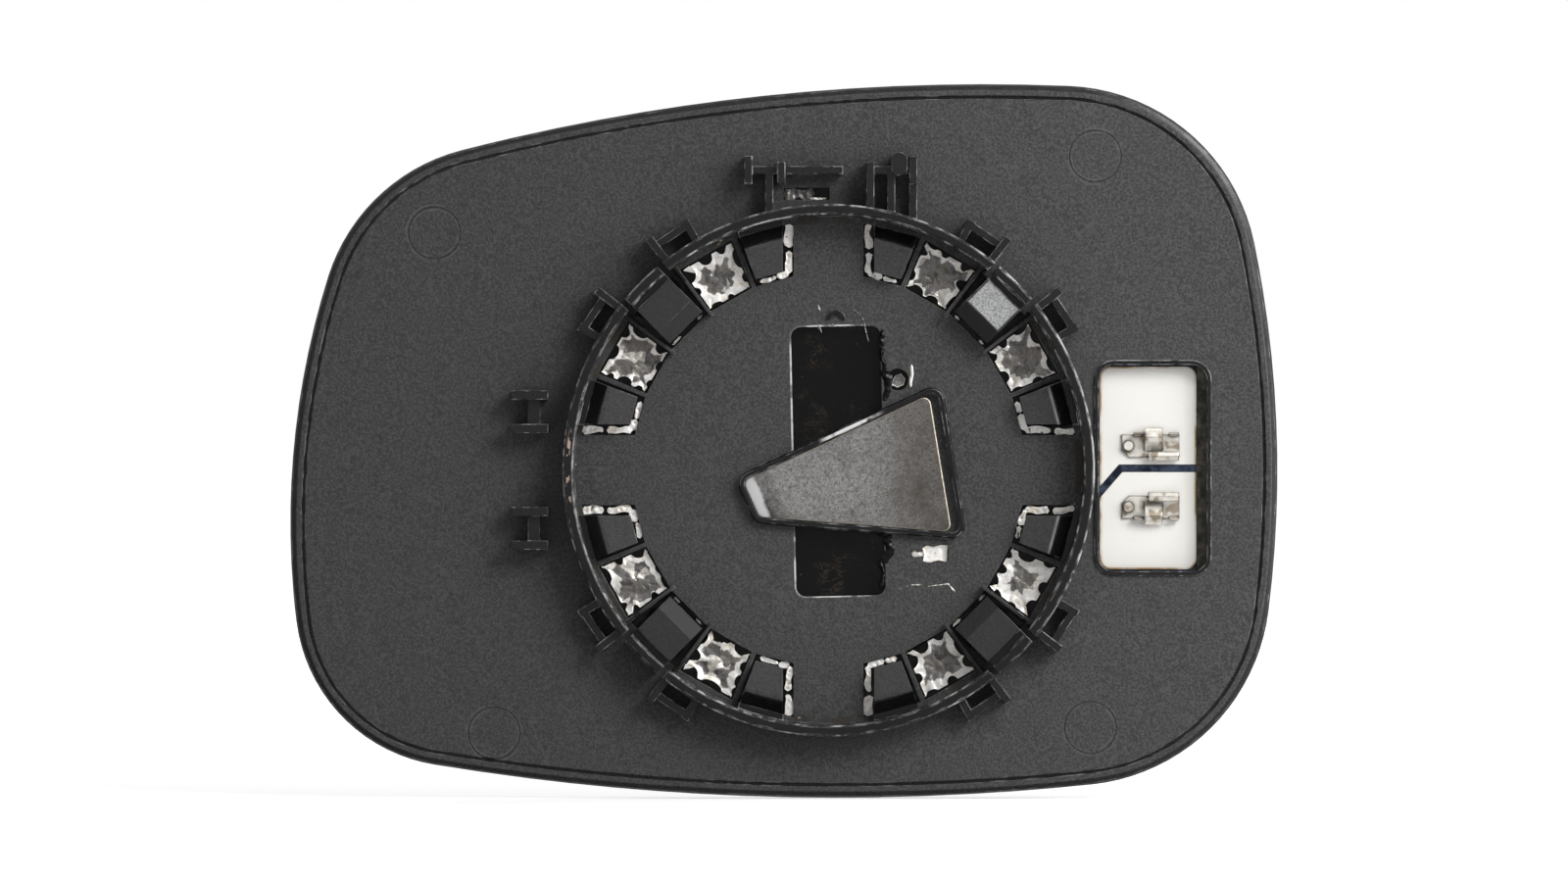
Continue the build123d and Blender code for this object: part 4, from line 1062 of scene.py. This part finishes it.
def make_floor():
    """Pale floor that looks white to the camera and keeps the part's shadow."""
    half = FLOOR_HALF
    low = cad_bounds[0][2] - FLOOR_GAP
    mesh = bpy.data.meshes.new("floor")
    corners = [(-half, -half, low), (half, -half, low), (half, half, low), (-half, half, low)]
    mesh.from_pydata(corners, [], [(0, 1, 2, 3)])
    g = Graph("floor_white")
    x, y, _ = g.axes()
    seen = g.node("LightPath").outputs["Is Camera Ray"]
    glow = g.fade(g.length(x, y), *FLOOR_GLOW_STEP, *FLOOR_GLOW)
    g.set(Base_Color=grey(0.80), Roughness=0.9, Specular_IOR_Level=0.0)
    g.set(Emission_Color=grey(1.0), Emission_Strength=g.both(seen, glow))
    mesh.materials.append(g.material)
    floor = bpy.data.objects.new("floor", mesh)
    bpy.context.scene.collection.objects.link(floor)
    floor.visible_glossy = False


def make_world():
    """White studio: white to the camera, plain soft light, and in reflections soft panels and a dark side."""
    world = bpy.data.worlds.new("studio")
    world.use_nodes = True
    bpy.context.scene.world = world
    g = Nodes(world.node_tree)
    background = g.tree.nodes["Background"]
    background.inputs["Color"].default_value = (1.0, 1.0, 1.0, 1.0)

    def panel(direction, near, far, at_middle, away_from_it):
        """Soft panel round a direction, which goes from one level to another away from it."""
        pair = {0: g.node("TexCoord").outputs["Generated"], 1: Vector(direction).normalized()}
        away = g.node("VectorMath", pair, operation="DISTANCE").outputs["Value"]
        return g.fade(away, near, far, at_middle, away_from_it)

    front = (0.0, 1.0, -0.07)
    middle = panel(front, near=0.0, far=0.30, at_middle=0.80, away_from_it=0.40)
    wide = panel(front, near=0.6, far=1.5, at_middle=1.0, away_from_it=1.30)
    dark_side = panel((-0.6, -0.5, -0.6), near=0.3, far=1.1, at_middle=0.15, away_from_it=1.0)
    behind = panel((0.55, -0.55, 0.65), near=0.2, far=0.85, at_middle=1.0, away_from_it=0.10)
    reflected = g.math("MAXIMUM", g.both(middle, wide, dark_side), behind)
    path = g.node("LightPath").outputs
    glossy = g.node("MapRange", {"Value": path["Is Glossy Ray"], "To Min": PLAIN_LIGHT, "To Max": reflected})
    seen = g.node("MapRange", {"Value": path["Is Camera Ray"], "To Min": glossy.outputs[0], "To Max": 1.0})
    g.feed(background.inputs["Strength"], seen.outputs[0])


def make_lamp(name, place, target, width, power):
    """Soft square lamp that faces a target."""
    lamp = bpy.data.lights.new(name, "AREA")
    lamp.size = width
    lamp.energy = power
    holder = bpy.data.objects.new(name, lamp)
    holder.location = place
    holder.rotation_euler = (Vector(target) - Vector(place)).to_track_quat("-Z", "Y").to_euler()
    bpy.context.scene.collection.objects.link(holder)
    return holder


def make_camera(middle):
    """Camera straight behind the part."""
    camera = bpy.data.cameras.new("camera")
    camera.sensor_width = 36.0
    camera.lens = camera.sensor_width * CAMERA_DISTANCE / CAMERA_SHOWN_WIDTH
    holder = bpy.data.objects.new("camera", camera)
    holder.location = (middle.x, middle.y - CAMERA_DISTANCE, middle.z)
    holder.rotation_euler = (math.radians(90), 0.0, 0.0)
    bpy.context.scene.collection.objects.link(holder)
    bpy.context.scene.camera = holder


# Materials of the solids
looks = {
    "carrier": carrier_material(),
    "silvered_glass": mirror_material(),
    "foil": film_material(),
    "adhesive": adhesive_material(),
    "steel": steel_material(),
    "pad": pad_material(),
    "tinned": tinned_material(),
}
for subpart in frame["record"]["subparts"]:
    mesh = nodes[subpart["node"]].data
    mesh.materials.clear()
    mesh.materials.append(looks[subpart["material_slot"]])

# A finer glass, and torn and smeared bits on the solids
make_glass(looks["silvered_glass"])
make_window_floors(looks["adhesive"])
make_foil(crumpled_material())
make_squeezed_adhesive(looks["adhesive"])

# Stage
low_corner = Vector(cad_bounds[0])
high_corner = Vector(cad_bounds[1])
middle = (low_corner + high_corner) / 2
make_floor()
make_world()
make_lamp("key", (0.42, -0.46, 0.38), middle, width=0.34, power=3.7)
make_lamp("side", (0.55, -0.17, 0.10), middle, width=0.40, power=2.0)
make_lamp("front_fill", (-0.6, 1.1, 0.8), middle, width=0.9, power=12.0).visible_glossy = False
make_camera(middle)
bpy.context.scene.view_settings.view_transform = "Standard"
